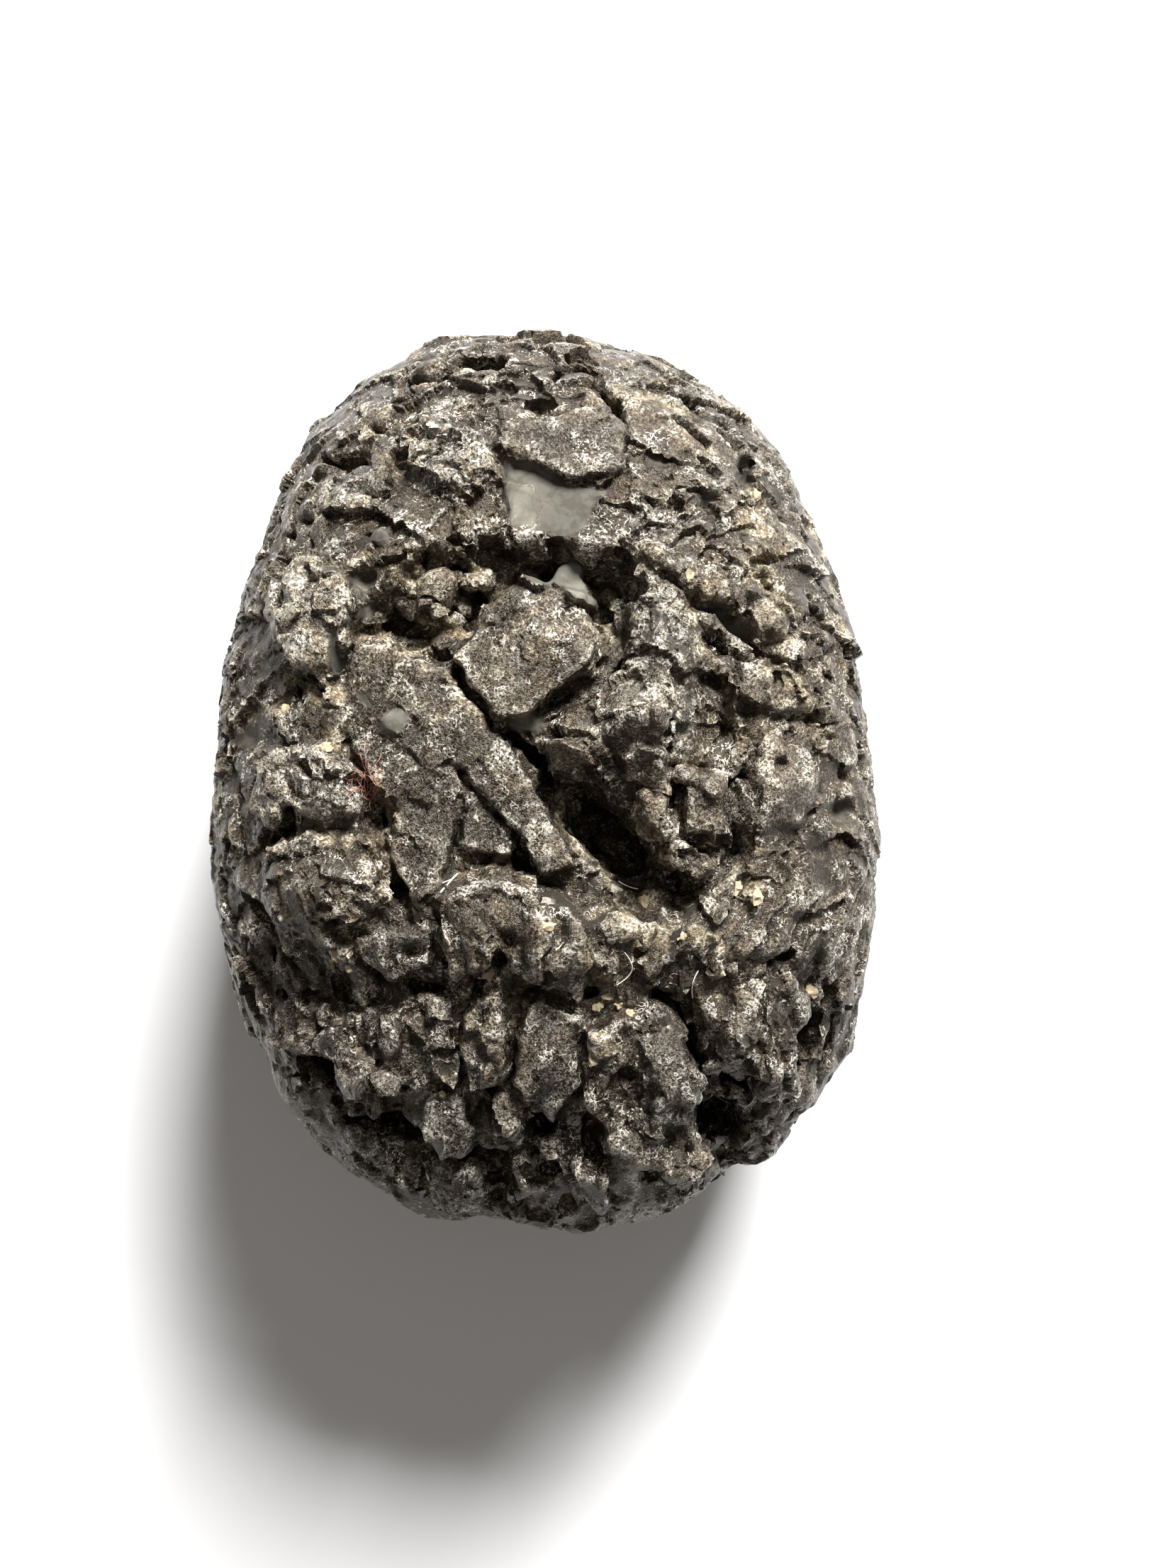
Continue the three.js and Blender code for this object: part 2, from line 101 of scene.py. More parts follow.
def three_of(mixed: np.ndarray) -> np.ndarray:
    """Splits each 32-bit number into three from 0 to 1."""
    parts = np.stack([(mixed >> shift) & 1023 for shift in (0, 10, 20)], axis=1)
    return parts.astype(np.float32) / 1023.0


def gradient_noise(points: np.ndarray, scale: float, salt: int) -> np.ndarray:
    """Smooth noise from about -1 to 1.

    Args:
        points: Places in millimetres, one row of three each.
        scale: Size of the noise's waves in millimetres.
        salt: Picks one of many independent patterns.

    Returns:
        One value per point.
    """
    scaled = (points / scale).astype(np.float32)
    base = np.floor(scaled)
    within = scaled - base
    eased = within * within * within * (within * (within * 6 - 15) + 10)
    total = np.zeros(len(scaled), np.float32)
    for corner in itertools.product((0, 1), repeat=3):
        step = np.array(corner, np.float32)
        gradient = three_of(lattice_hash(base + step, salt)) * 2 - 1
        weight = np.prod(np.where(step > 0, eased, 1 - eased), axis=1)
        total += weight * ((within - step) * gradient).sum(axis=1)
    return total * 1.7


def fractal_noise(points: np.ndarray, scale: float, octaves: int, salt: int) -> np.ndarray:
    """Sum of gradient noises, each half the size and height of the one before.

    Args:
        points: Places in millimetres, one row of three each.
        scale: Size of the largest waves in millimetres.
        octaves: How many noises are added.
        salt: Picks one of many independent patterns.

    Returns:
        One value per point.
    """
    total = np.zeros(len(points), np.float32)
    for octave in range(octaves):
        total += gradient_noise(points, scale / 2**octave, salt + 31 * octave) / 2**octave
    return total


def warped(points: np.ndarray, *waves: Wave) -> np.ndarray:
    """Shifts points by smooth noises, so that patterns read there lose their straight lines.

    Args:
        points: Places in millimetres, one row of three each.
        waves: The noises, applied one after the other.

    Returns:
        The shifted places.
    """
    for amount, scale, salt in waves:
        shift = [gradient_noise(points, scale, salt + axis) for axis in range(3)]
        points = points + amount * np.stack(shift, axis=1)
    return points


@dataclass(frozen=True)
class Fracture:
    """A layer of broken cells: facets, lumps and steps of one size."""

    scale: float  # size of a cell in millimetres
    step: float  # height between the lowest and the highest cell
    tilt: float  # height from one side of a cell to the other
    bulge: float  # height of a cell's middle over its edge; negative is dished
    salt: int
    stretch: tuple[float, float, float] = (1.0, 1.0, 1.0)  # cell size along X, Y and Z
    lean: tuple[float, float, float] = (0.0, 0.0, 0.0)  # tilt that all the cells share
    margin: float = 0.12  # share of a cell at its sides that its middle keeps out of
    border_width: float = 0.22  # in cells

    def relief(self, points: np.ndarray) -> tuple[np.ndarray, np.ndarray, np.ndarray]:
        """Height of the broken surface.

        Args:
            points: Places in millimetres.

        Returns:
            The height at each point, the nearness to a cell's border from 0 to 1, and the cell's own
            random number.
        """
        scaled = (points / (self.scale * np.array(self.stretch, np.float32))).astype(np.float32)
        base = np.floor(scaled)
        nearest = np.full(len(scaled), FAR, np.float32)
        second = nearest.copy()
        offset = np.zeros_like(scaled)
        owner = np.zeros(len(scaled), np.uint32)
        for shift in itertools.product((-1, 0, 1), repeat=3):
            cell = base + np.array(shift, np.float32)
            mixed = lattice_hash(cell, self.salt)
            away = scaled - (cell + self.margin + (1 - 2 * self.margin) * three_of(mixed))
            distance = (away * away).sum(axis=1)
            closer = distance < nearest
            second = np.where(closer, nearest, np.minimum(second, distance))
            nearest = np.where(closer, distance, nearest)
            offset[closer] = away[closer]
            owner[closer] = mixed[closer]
        draws = three_of(owner * np.uint32(SPREADING[0]) + np.uint32(self.salt))
        slope = three_of(owner * np.uint32(SPREADING[1]) + np.uint32(self.salt + 7)) * 2 - 1
        slope += np.array(self.lean, np.float32)
        height = (draws[:, 0] - 0.5) * self.step + (offset * slope).sum(axis=1) * self.tilt
        height -= self.bulge * (nearest * 2.2 - 0.5)
        border = 1 - smooth((np.sqrt(second) - np.sqrt(nearest)) / self.border_width)
        return height, border, draws[:, 1]


@dataclass(frozen=True)
class BrokenPlanes:
    """Three sets of facets that cut across each other and meet in crests and valleys."""

    scale: float  # size of a facet in millimetres
    height: float  # about that of the crests over the mean, in millimetres
    salt: int
    sizes: tuple[float, float, float] = (1.0, 1.25, 0.8)  # of the three sets, beside the scale
    cut: float = 0.45  # how far above its own height the third set cuts off the other two
    step: float = 0.7
    tilt: float = 1.5

    def relief(self, points: np.ndarray) -> tuple[np.ndarray, np.ndarray]:
        """Height of the facets.

        Args:
            points: Places in millimetres.

        Returns:
            The height at each point, and its facet's own random number.
        """
        layers = [
            Fracture(self.scale * size, self.step, self.tilt, 0.0, self.salt + k, lean=LEDGES)
            for k, size in enumerate(self.sizes)
        ]
        (one, _, draw_one), (two, _, draw_two), (three, _, draw_three) = (
            layer.relief(points) for layer in layers
        )
        upper = np.maximum(one, two)
        draw = np.where(upper < three + self.cut, np.where(one > two, draw_one, draw_two), draw_three)
        return self.height * np.minimum(upper, three + self.cut), draw


def diagonal(points: np.ndarray) -> np.ndarray:
    """Turns points so that X runs from the upper left of the crown to its lower right."""
    x, y = points[:, 0], points[:, 1]
    return np.stack([(x - y) * 0.7, (x + y) * 0.7, points[:, 2]], axis=1)


def smooth(t: np.ndarray) -> np.ndarray:
    """Eases from 0 to 1 as t goes from 0 to 1."""
    t = np.clip(t, 0.0, 1.0)
    return t * t * (3 - 2 * t)


# ---------------------------------------------------------------- the pebble form


@dataclass(frozen=True)
class PebbleForm:
    """The smooth form that the relief is worked into, in millimetres."""

    thickness: float = 24.0
    girdle_height: float = 11.4
    flat_spot_cut: float = 0.28
    section_power: float = 2.4
    outline_centre_y: float = 0.2
    # distances from its centre, every 30 degrees from +X
    girdle_reach: tuple[float, ...] = (
        15.6, 16.6, 19.4, 21.1, 20.0, 16.7, 15.7, 17.2, 20.4, 21.6, 20.9, 17.5,
    )

    def reach(self, angle: np.ndarray) -> np.ndarray:
        """Distance of the girdle from its centre, on a smooth closed curve.

        Args:
            angle: Bearings in radians, anticlockwise from +X.

        Returns:
            One distance in millimetres per bearing.
        """
        values = np.array(self.girdle_reach, np.float32)
        count = len(values)
        turn = (angle / (2 * math.pi) * count) % count
        knot = np.floor(turn).astype(int)
        t = turn - knot
        a, b, c, d = (values[(knot + k) % count] for k in (-1, 0, 1, 2))
        return b + 0.5 * t * (c - a + t * (2 * a - 5 * b + 4 * c - d + t * (3 * (b - c) + d - a)))

    def surface(self, direction: np.ndarray) -> np.ndarray:
        """Places on the form.

        Args:
            direction: Unit directions from the middle of its girdle, one row each.

        Returns:
            Places in millimetres, one row each.
        """
        level = np.hypot(direction[:, 0], direction[:, 1])
        reach = self.reach(np.arctan2(direction[:, 1], direction[:, 0]))
        above = self.thickness - self.girdle_height
        half = np.where(direction[:, 2] > 0, above, self.girdle_height + self.flat_spot_cut)
        power = self.section_power
        inverse = (level / reach) ** power + (np.abs(direction[:, 2]) / half) ** power
        points = direction * (inverse ** (-1 / power))[:, None]
        return points + np.array([0, self.outline_centre_y, self.girdle_height], np.float32)


# ---------------------------------------------------------------- tools of the sculpted relief


class Grain(Enum):
    """How the broken glass of a place looks."""

    PLATE = "flat, dull and dusty"
    ROUGH = "hackly lumps"
    FROST = "crushed white splinters"
    GLASS = "clean and glossy"
    CLAY = "tan clay"
    MILKY = "thin, pale and see-through"


def beside(xy: np.ndarray, start: Point, end: Point) -> tuple[np.ndarray, np.ndarray]:
    """Where points lie beside a straight stretch.

    Args:
        xy: Places, one row of two each.
        start: The stretch's first end.
        end: Its last end.

    Returns:
        How far along the stretch its nearest place is, from 0 to 1, and the distance to it.
    """
    run_x, run_y = end[0] - start[0], end[1] - start[1]
    from_x, from_y = xy[:, 0] - start[0], xy[:, 1] - start[1]
    along = np.clip((from_x * run_x + from_y * run_y) / (run_x * run_x + run_y * run_y), 0, 1)
    return along, np.hypot(from_x - along * run_x, from_y - along * run_y)


@dataclass(frozen=True)
class Block:
    """A slab or lump with its own outline on the crown."""

    lift: float  # height of its edge over what lies round it; negative is sunk
    outline: tuple[Point, ...]
    crown: float = 0.0  # extra height of its middle
    edge: float = 0.35  # width of its side, as seen from above
    tilt: Point = (0.0, 0.0)  # rise per millimetre along X and Y
    grain: Grain | None = None
    crown_run: float = 2.2  # distance from its edge over which the crown rises

    def depth_inside(self, xy: np.ndarray) -> np.ndarray:
        """Distance from the outline.

        Args:
            xy: Places, one row of two each.

        Returns:
            One distance per place, positive inside the outline.
        """
        near = np.full(len(xy), FAR, np.float32)
        inside = np.zeros(len(xy), bool)
        x, y = xy[:, 0], xy[:, 1]
        for k, end in enumerate(self.outline):
            start = self.outline[k - 1]
            near = np.minimum(near, beside(xy, start, end)[1])
            run_x, run_y = end[0] - start[0], end[1] - start[1]
            if run_y:
                spans = (start[1] > y) != (end[1] > y)
                inside ^= spans & (x < start[0] + (y - start[1]) / run_y * run_x)
        return np.where(inside, near, -near)

    def share(self, xy: np.ndarray) -> np.ndarray:
        """1 on the block, 0 off it, and between on its side."""
        return smooth(self.depth_inside(xy) / self.edge + 0.5)

    def relief(self, xy: np.ndarray) -> np.ndarray:
        """Height that the block adds.

        Args:
            xy: Places, one row of two each.

        Returns:
            One height per place.
        """
        depth = self.depth_inside(xy)
        middle = np.mean(np.array(self.outline), axis=0)
        slope = (xy[:, 0] - middle[0]) * self.tilt[0] + (xy[:, 1] - middle[1]) * self.tilt[1]
        body = self.lift + slope + self.crown * smooth(depth / self.crown_run)
        return smooth(depth / self.edge + 0.5) * body


@dataclass(frozen=True)
class Hollow:
    """A pit, hole or cup on the crown."""

    at: Point
    radii: Point
    depth: float
    turn: float = 0.0  # degrees, anticlockwise from +X
    wall: float = 0.5  # share of the radius taken by its wall
    grain: Grain | None = None

    def share(self, xy: np.ndarray) -> np.ndarray:
        """How far each place lies in the hollow.

        Args:
            xy: Places, one row of two each.

        Returns:
            1 in the hollow's middle, 0 outside it.
        """
        turn = math.radians(self.turn)
        dx, dy = xy[:, 0] - self.at[0], xy[:, 1] - self.at[1]
        along = (dx * math.cos(turn) + dy * math.sin(turn)) / self.radii[0]
        across = (dy * math.cos(turn) - dx * math.sin(turn)) / self.radii[1]
        return smooth((1.1 - np.hypot(along, across)) / self.wall)

    def relief(self, xy: np.ndarray) -> np.ndarray:
        """Height that the hollow takes away."""
        return -self.depth * self.share(xy)


@dataclass(frozen=True)
class Crack:
    """A crack, crevice or, with a negative depth, a fine rib along a line."""

    line: tuple[Point, ...]
    width: float
    depth: float
    end_width: float | None = None  # the same as the width unless given
    grain: Grain | None = None

    def share(self, xy: np.ndarray) -> np.ndarray:
        """How far each place lies in the crack.

        Args:
            xy: Places, one row of two each.

        Returns:
            1 on the line, 0 beyond half its width.
        """
        best = np.zeros(len(xy), np.float32)
        last = len(self.line) - 1
        end = self.width if self.end_width is None else self.end_width
        for k in range(last):
            on_stretch, near = beside(xy, self.line[k], self.line[k + 1])
            along = (k + on_stretch) / last
            width = self.width + (end - self.width) * along
            fade = smooth(np.minimum(along, 1 - along) * 8 + 0.3)
            best = np.maximum(best, fade * smooth(1.15 - near / (width / 2)))
        return best

    def relief(self, xy: np.ndarray) -> np.ndarray:
        """Height that the crack takes away."""
        return -self.depth * self.share(xy)


@dataclass(frozen=True)
class Ridge:
    """A crest that falls off evenly on both sides of a line."""

    line: tuple[Point, ...]
    reach: float  # how far each side runs out
    height: float
    grain: Grain | None = None

    def share(self, xy: np.ndarray) -> np.ndarray:
        """How near each place is to the crest.

        Args:
            xy: Places, one row of two each.

        Returns:
            1 on the crest, 0 where its sides end.
        """
        near = np.full(len(xy), FAR, np.float32)
        for start, end in zip(self.line, self.line[1:]):
            near = np.minimum(near, beside(xy, start, end)[1])
        return np.clip(1 - near / self.reach, 0, 1)

    def relief(self, xy: np.ndarray) -> np.ndarray:
        """Height that the crest adds."""
        return self.height * self.share(xy)


Tool = Block | Hollow | Crack | Ridge


@dataclass(frozen=True)
class Knob:
    """A swell, or with a negative height a dent, of the worn rim."""

    bearing: float  # degrees, anticlockwise from +X
    reach: float  # degrees to where it ends
    height: float
    rise: float = 6.0  # how far above and below the rim's level it ends

    def relief(self, points: np.ndarray, level: float) -> np.ndarray:
        """Height that the knob adds.

        Args:
            points: Places in millimetres, one row of three each.
            level: Height of the rim.

        Returns:
            One height per point.
        """
        bearing = np.degrees(np.arctan2(points[:, 1], points[:, 0]))
        away = (bearing - self.bearing + 180) % 360 - 180
        up = (points[:, 2] - level) / self.rise
        return self.height * smooth(1 - np.hypot(away / self.reach, up))


RIM: tuple[Knob, ...] = (
    Knob(18, 14, -0.3), Knob(62, 12, 0.2), Knob(74, 12, 0.6), Knob(107, 20, 0.9), Knob(123, 4, 0.5),
    Knob(146, 12, 0.4), Knob(174, 10, 0.2), Knob(191, 10, 0.3), Knob(213, 12, 0.4), Knob(226, 7, -0.4),
    Knob(239, 10, 0.4), Knob(254, 9, 0.6), Knob(268, 12, -0.6), Knob(293, 7, -0.9), Knob(301, 6, 0.5),
    Knob(319, 14, 0.7), Knob(340, 8, -0.3),
)


# ---------------------------------------------------------------- the crown's features

PLATE, ROUGH, FROST, GLASS, CLAY, MILKY = Grain


def stain(line: tuple[Point, ...], width: float) -> Crack:
    """Clay along a line, where nothing stands out."""
    return Crack(line, width, 0.0, grain=CLAY)


def bruise(at: Point, radii: Point, turn: float = 0.0) -> Hollow:
    """Crushed white glass, where nothing stands out."""
    return Hollow(at, radii, 0.0, turn, 0.9, FROST)


MIDDLE_BLOCKS: tuple[Tool, ...] = (
    # the sunken middle of the face, the pocket under the brow, and the rubble in its left end
    Block(-1.5, ((-8.0, 6.8), (-7.4, 8.0), (-6.2, 8.3), (-5.6, 9.5), (-4.4, 9.9), (-3.3, 9.3),
                 (-2.2, 10.1), (-0.6, 9.8), (0.8, 10.1), (2.2, 9.5), (3.6, 9.7), (5.2, 8.6), (6.4, 7.6),
                 (8.2, 3.0), (8.4, -3.0), (6.0, -5.5), (2.0, -5.5), (-2.0, -3.6), (-6.2, -4.6),
                 (-8.4, 1.8), (-8.6, 5.5)), edge=0.6),
    Block(-1.0, ((-4.2, 8.4), (-3.2, 9.0), (-2.0, 9.9), (-0.4, 9.6), (1.0, 9.9), (2.2, 9.3), (3.2, 9.4),
                 (4.2, 8.7), (3.9, 7.0), (2.4, 6.8), (1.8, 8.0), (0.6, 8.3), (-1.9, 7.9), (-3.0, 6.4),
                 (-4.0, 6.6)), edge=0.4),
    Block(-0.9, ((-7.2, 7.2), (-6.4, 7.8), (-5.2, 7.0), (-4.4, 6.4), (-5.0, 6.0), (-6.6, 6.3)), edge=0.4),
    Block(0.9, ((-5.0, 8.6), (-4.6, 8.8), (-4.1, 8.8), (-3.9, 8.2), (-4.2, 7.8), (-4.6, 7.4),
                (-4.8, 7.6)), edge=0.2, tilt=(0.2, 0.3), grain=ROUGH),
    Block(1.0, ((-4.7, 7.6), (-4.0, 7.3), (-3.55, 7.15), (-3.6, 6.7), (-3.8, 6.65), (-4.2, 6.9),
                (-4.6, 7.3)), edge=0.15, tilt=(-0.3, 0.2), grain=CLAY),
    Block(1.1, ((-3.9, 8.95), (-3.1, 8.8), (-3.0, 9.4), (-2.5, 9.4), (-1.9, 9.1), (-2.2, 8.4),
                (-2.4, 8.2), (-3.0, 8.35), (-3.4, 8.6)), edge=0.2, tilt=(0.1, -0.4), grain=CLAY),
    Block(0.8, ((-5.8, 9.3), (-5.5, 9.7), (-5.1, 9.6), (-5.2, 9.1), (-5.5, 8.85)), edge=0.2,
          tilt=(0.4, 0.0), grain=ROUGH),
    Crack(((-6.8, 9.0), (-6.0, 8.8), (-5.5, 8.4), (-5.0, 8.4)), 0.4, -0.5, grain=CLAY),
    Crack(((-3.7, 8.1), (-3.3, 7.5), (-2.8, 7.5)), 0.35, -0.5, grain=CLAY),
    Hollow((-2.9, 8.0), (0.6, 0.33), 1.4, -15),
    Hollow((-3.5, 9.2), (0.45, 0.3), 1.3),
    # the middle dome
    Block(1.3, ((-3.6, 5.2), (-2.7, 6.8), (-1.8, 8.0), (-0.5, 8.6), (1.0, 8.1), (2.2, 6.8), (2.4, 5.2),
                (1.0, 3.9), (-0.8, 2.7), (-1.6, 2.6), (-2.8, 3.9)), crown=0.3, edge=0.25,
          tilt=(0.0, -0.06), grain=PLATE),
    Ridge(((-1.0, 8.2), (-0.2, 6.4), (1.6, 5.6)), 1.9, 0.5),
    Ridge(((-0.2, 6.4), (-1.4, 3.4)), 1.4, 0.4),
    # the long plate that slants across the face, and the plates on its left
    Block(1.1, ((-3.9, 4.6), (-2.3, 2.9), (-0.6, 0.6), (1.7, -3.4), (0.3, -3.9), (-1.0, -2.2),
                (-3.1, 0.2), (-4.5, 2.0)), edge=0.3, tilt=(0.04, 0.0), grain=PLATE),
    Block(0.9, ((-8.0, 6.1), (-6.0, 5.6), (-3.9, 4.8), (-4.5, 2.0), (-3.2, 0.2), (-3.5, -2.0),
                (-4.3, -4.2), (-6.0, -4.4), (-7.3, 0.4), (-8.6, 2.6)), edge=0.35, tilt=(0.05, 0.02),
          grain=PLATE),
    Block(0.7, ((-3.1, 0.0), (-1.1, -2.2), (-1.0, -3.2), (-2.0, -3.0), (-3.2, -2.6), (-3.4, -1.0)),
          edge=0.25, tilt=(-0.1, 0.05), grain=PLATE),
    # the ridge on the right: its mass, its left face, its crest and its lower end
    Block(1.0, ((4.2, 9.0), (6.0, 7.8), (7.0, 5.5), (8.2, 4.0), (8.3, 1.0), (7.5, -1.0), (8.0, -2.8),
                (6.5, -4.2), (5.2, -3.2), (4.5, -1.6), (3.0, -0.6), (0.5, 0.7), (0.3, 1.8), (1.6, 3.2),
                (3.6, 4.6), (3.9, 7.0)), crown=0.4, edge=0.4, grain=ROUGH),
    Ridge(((4.7, 8.3), (4.9, 5.6), (5.1, 3.6), (4.6, 2.6)), 2.3, 1.3, FROST),
    Ridge(((3.6, 2.8), (2.4, 2.2), (1.0, 1.6)), 1.5, 1.0),
    Block(0.5, ((0.1, 1.9), (0.8, 2.0), (2.0, 1.2), (1.9, 0.2), (1.0, 0.0), (0.2, 0.9)), edge=0.3,
          tilt=(0.2, 0.3), grain=PLATE),
    Block(1.1, ((3.3, 1.0), (4.0, 1.5), (5.0, 1.3), (5.3, 0.5), (5.2, -0.3), (4.3, -0.2), (3.6, 0.4)),
          edge=0.2, tilt=(0.0, 0.25), grain=PLATE),
    Block(0.5, ((4.4, 3.1), (5.1, 3.0), (5.1, 2.2), (4.5, 2.1)), edge=0.2, tilt=(-0.3, 0.2), grain=PLATE),
    Block(0.9, ((5.8, 0.4), (7.4, 0.5), (8.3, -0.6), (8.5, -1.8), (7.6, -2.2), (6.2, -2.0), (5.9, -1.2)),
          edge=0.25, tilt=(0.05, 0.12), grain=PLATE),
    Block(0.5, ((5.2, -2.4), (7.0, -2.6), (7.6, -3.4), (6.4, -4.0), (5.4, -3.6)), edge=0.3,
          tilt=(0.1, 0.0), grain=ROUGH),
    Block(-0.4, ((2.7, 6.8), (3.8, 6.6), (3.2, 4.4), (2.6, 3.6), (1.8, 3.4), (2.2, 4.6), (2.8, 5.4)),
          edge=0.4, grain=PLATE),
    Ridge(((6.3, 7.2), (6.8, 5.5), (7.6, 4.5), (8.2, 3.0), (8.3, 2.0)), 0.4, 0.3, CLAY),
    # the smooth band right of the ridge
    Block(-0.5, ((8.3, 0.2), (9.3, 2.2), (9.0, -2.0), (8.2, -5.2), (6.8, -4.8), (8.0, -2.6)), edge=0.5,
          grain=PLATE),
    # the cave, and the notch that leads down to it
    Hollow((2.9, -2.3), (2.7, 1.15), 4.6, -48, 0.45),
    Hollow((0.1, 1.0), (1.0, 0.35), 1.7, -68),
    Hollow((5.2, -4.0), (1.3, 0.6), 1.4, -30),
    # the flap that hangs over the cave
    Block(2.0, ((4.1, -0.6), (4.8, -0.3), (5.3, -0.7), (5.1, -1.2), (5.4, -1.8), (5.1, -2.2), (4.3, -2.2),
                (4.0, -1.6)), edge=0.2, tilt=(0.15, 0.0), grain=PLATE),
    Hollow((7.9, 6.95), (1.5, 0.6), 1.3, -44, 0.7, GLASS),
    Hollow((7.4, 5.8), (0.8, 0.5), 1.3, -20),
    Hollow((6.7, 7.6), (0.7, 0.4), 1.2, -50),
)

UPPER_BLOCKS: tuple[Tool, ...] = (
    Block(0.5, ((-2.0, 14.4), (-1.4, 15.1), (0.5, 15.6), (3.2, 15.9), (3.6, 15.2), (3.5, 13.1),
                (2.3, 12.9), (1.3, 12.6), (0.4, 13.2), (-0.5, 13.6)), edge=0.25, tilt=(0.0, 0.08),
          grain=PLATE),
    Block(0.6, ((-5.9, 15.0), (-5.4, 15.4), (-4.2, 15.4), (-2.4, 14.9), (-2.0, 13.6), (-2.2, 12.2),
                (-3.6, 12.5), (-4.8, 12.9), (-5.9, 13.3)), crown=0.2, edge=0.3, grain=FROST),
    # the satin facet, with a faint crease: painted sheen makes it grey on the right and milky on the left
    Block(-0.15, ((-1.9, 13.9), (-0.6, 13.6), (0.4, 13.1), (1.3, 12.6), (2.9, 12.4), (2.2, 11.5),
                  (1.9, 10.6), (0.9, 10.2), (-0.2, 10.5), (-1.2, 10.8), (-1.5, 11.4), (-1.5, 12.6)),
          edge=0.25, grain=GLASS),
    Block(0.12, ((-1.6, 12.6), (-0.3, 12.5), (0.15, 11.8), (0.0, 11.0), (-0.3, 10.6), (-1.2, 10.8),
                 (-1.5, 11.4)), edge=0.3, tilt=(-0.12, 0.05), grain=MILKY),
    # left upper boss
    Block(0.7, ((-11.6, 9.3), (-10.2, 9.8), (-8.8, 9.2), (-8.0, 8.0), (-8.0, 6.4), (-8.6, 5.0),
                (-10.4, 5.0), (-11.5, 6.3), (-11.9, 7.8)), crown=0.6, edge=0.5, grain=FROST),
    Hollow((-7.5, 8.6), (0.9, 0.8), 0.8, 30, 0.9, GLASS),
    Hollow((-5.2, 17.9), (1.5, 0.55), 1.1, 8),
    Hollow((-2.7, 18.5), (1.2, 0.5), 1.3),
    Hollow((-8.7, 14.1), (1.5, 0.5), 1.2, -8),
    Hollow((8.9, 13.8), (0.65, 1.0), 1.3, 0, 0.9, GLASS),
    Crack(((1.3, 18.2), (2.3, 17.5), (3.2, 16.2), (3.6, 15.6)), 0.9, 1.7, 0.6),
    Crack(((3.5, 15.9), (3.7, 15.2), (3.6, 14.4), (3.5, 13.2), (2.6, 12.95), (1.4, 12.5)), 0.3, 1.0, 0.2),
    Crack(((-1.9, 14.0), (-1.6, 13.2), (-1.6, 11.8), (-1.5, 11.0)), 0.3, 0.8),
    Crack(((-6.1, 15.5), (-6.1, 14.0), (-5.9, 13.2), (-5.1, 12.9)), 0.3, 0.7),
)

SIDE_BLOCKS: tuple[Tool, ...] = (
    Block(0.8, ((-12.1, 1.4), (-9.2, 1.6), (-8.0, 0.8), (-7.3, 0.0), (-7.5, -1.3), (-9.2, -1.6),
                (-10.4, -0.8), (-11.4, -1.8), (-12.3, -1.0)), crown=0.4, edge=0.4, grain=FROST),
    Block(0.8, ((-11.0, -2.8), (-9.6, -2.1), (-8.0, -2.5), (-6.7, -3.4), (-6.4, -4.6), (-7.2, -6.0),
                (-9.2, -6.8), (-10.8, -6.4), (-11.6, -5.2), (-11.8, -3.8)), crown=1.0, edge=0.5,
          grain=ROUGH),
    Block(0.4, ((8.3, 0.2), (9.6, 1.7), (11.2, 1.7), (12.0, 0.4), (11.6, -0.8), (10.8, -1.9),
                (8.8, -1.7)), crown=0.5, edge=0.5, grain=PLATE),
    Block(0.6, ((8.7, 8.2), (10.2, 7.9), (10.9, 7.2), (9.9, 6.2), (9.0, 6.1)), edge=0.3, tilt=(0.1, 0.1),
          grain=PLATE),
    Block(0.8, ((8.1, 5.0), (9.3, 5.3), (10.3, 4.9), (11.4, 3.5), (11.3, 3.0), (9.8, 3.0), (8.2, 3.6)),
          edge=0.3, tilt=(0.0, 0.15), grain=PLATE),
    Ridge(((10.0, 5.6), (10.6, 4.8), (11.5, 3.4)), 0.5, 0.4, CLAY),
    Ridge(((9.1, 8.4), (9.9, 6.1), (11.0, 5.9)), 0.45, 0.35, CLAY),
    Ridge(((11.0, 8.0), (12.0, 6.2), (11.8, 4.4)), 0.7, 0.5),
    Hollow((12.2, 7.4), (0.5, 0.9), 0.6, 20),
    Crack(((10.9, 2.8), (11.7, 2.9), (12.7, 2.7)), 0.5, 1.0),
    Hollow((13.2, -1.3), (0.8, 1.0), 0.8, 0, 0.9, GLASS),
    Hollow((-10.9, -1.7), (1.1, 0.45), 1.9, 60),
    Hollow((-6.6, -1.3), (1.0, 0.6), 1.0, -70),
    Hollow((-6.0, -4.6), (1.3, 0.5), 1.6, -60),
)

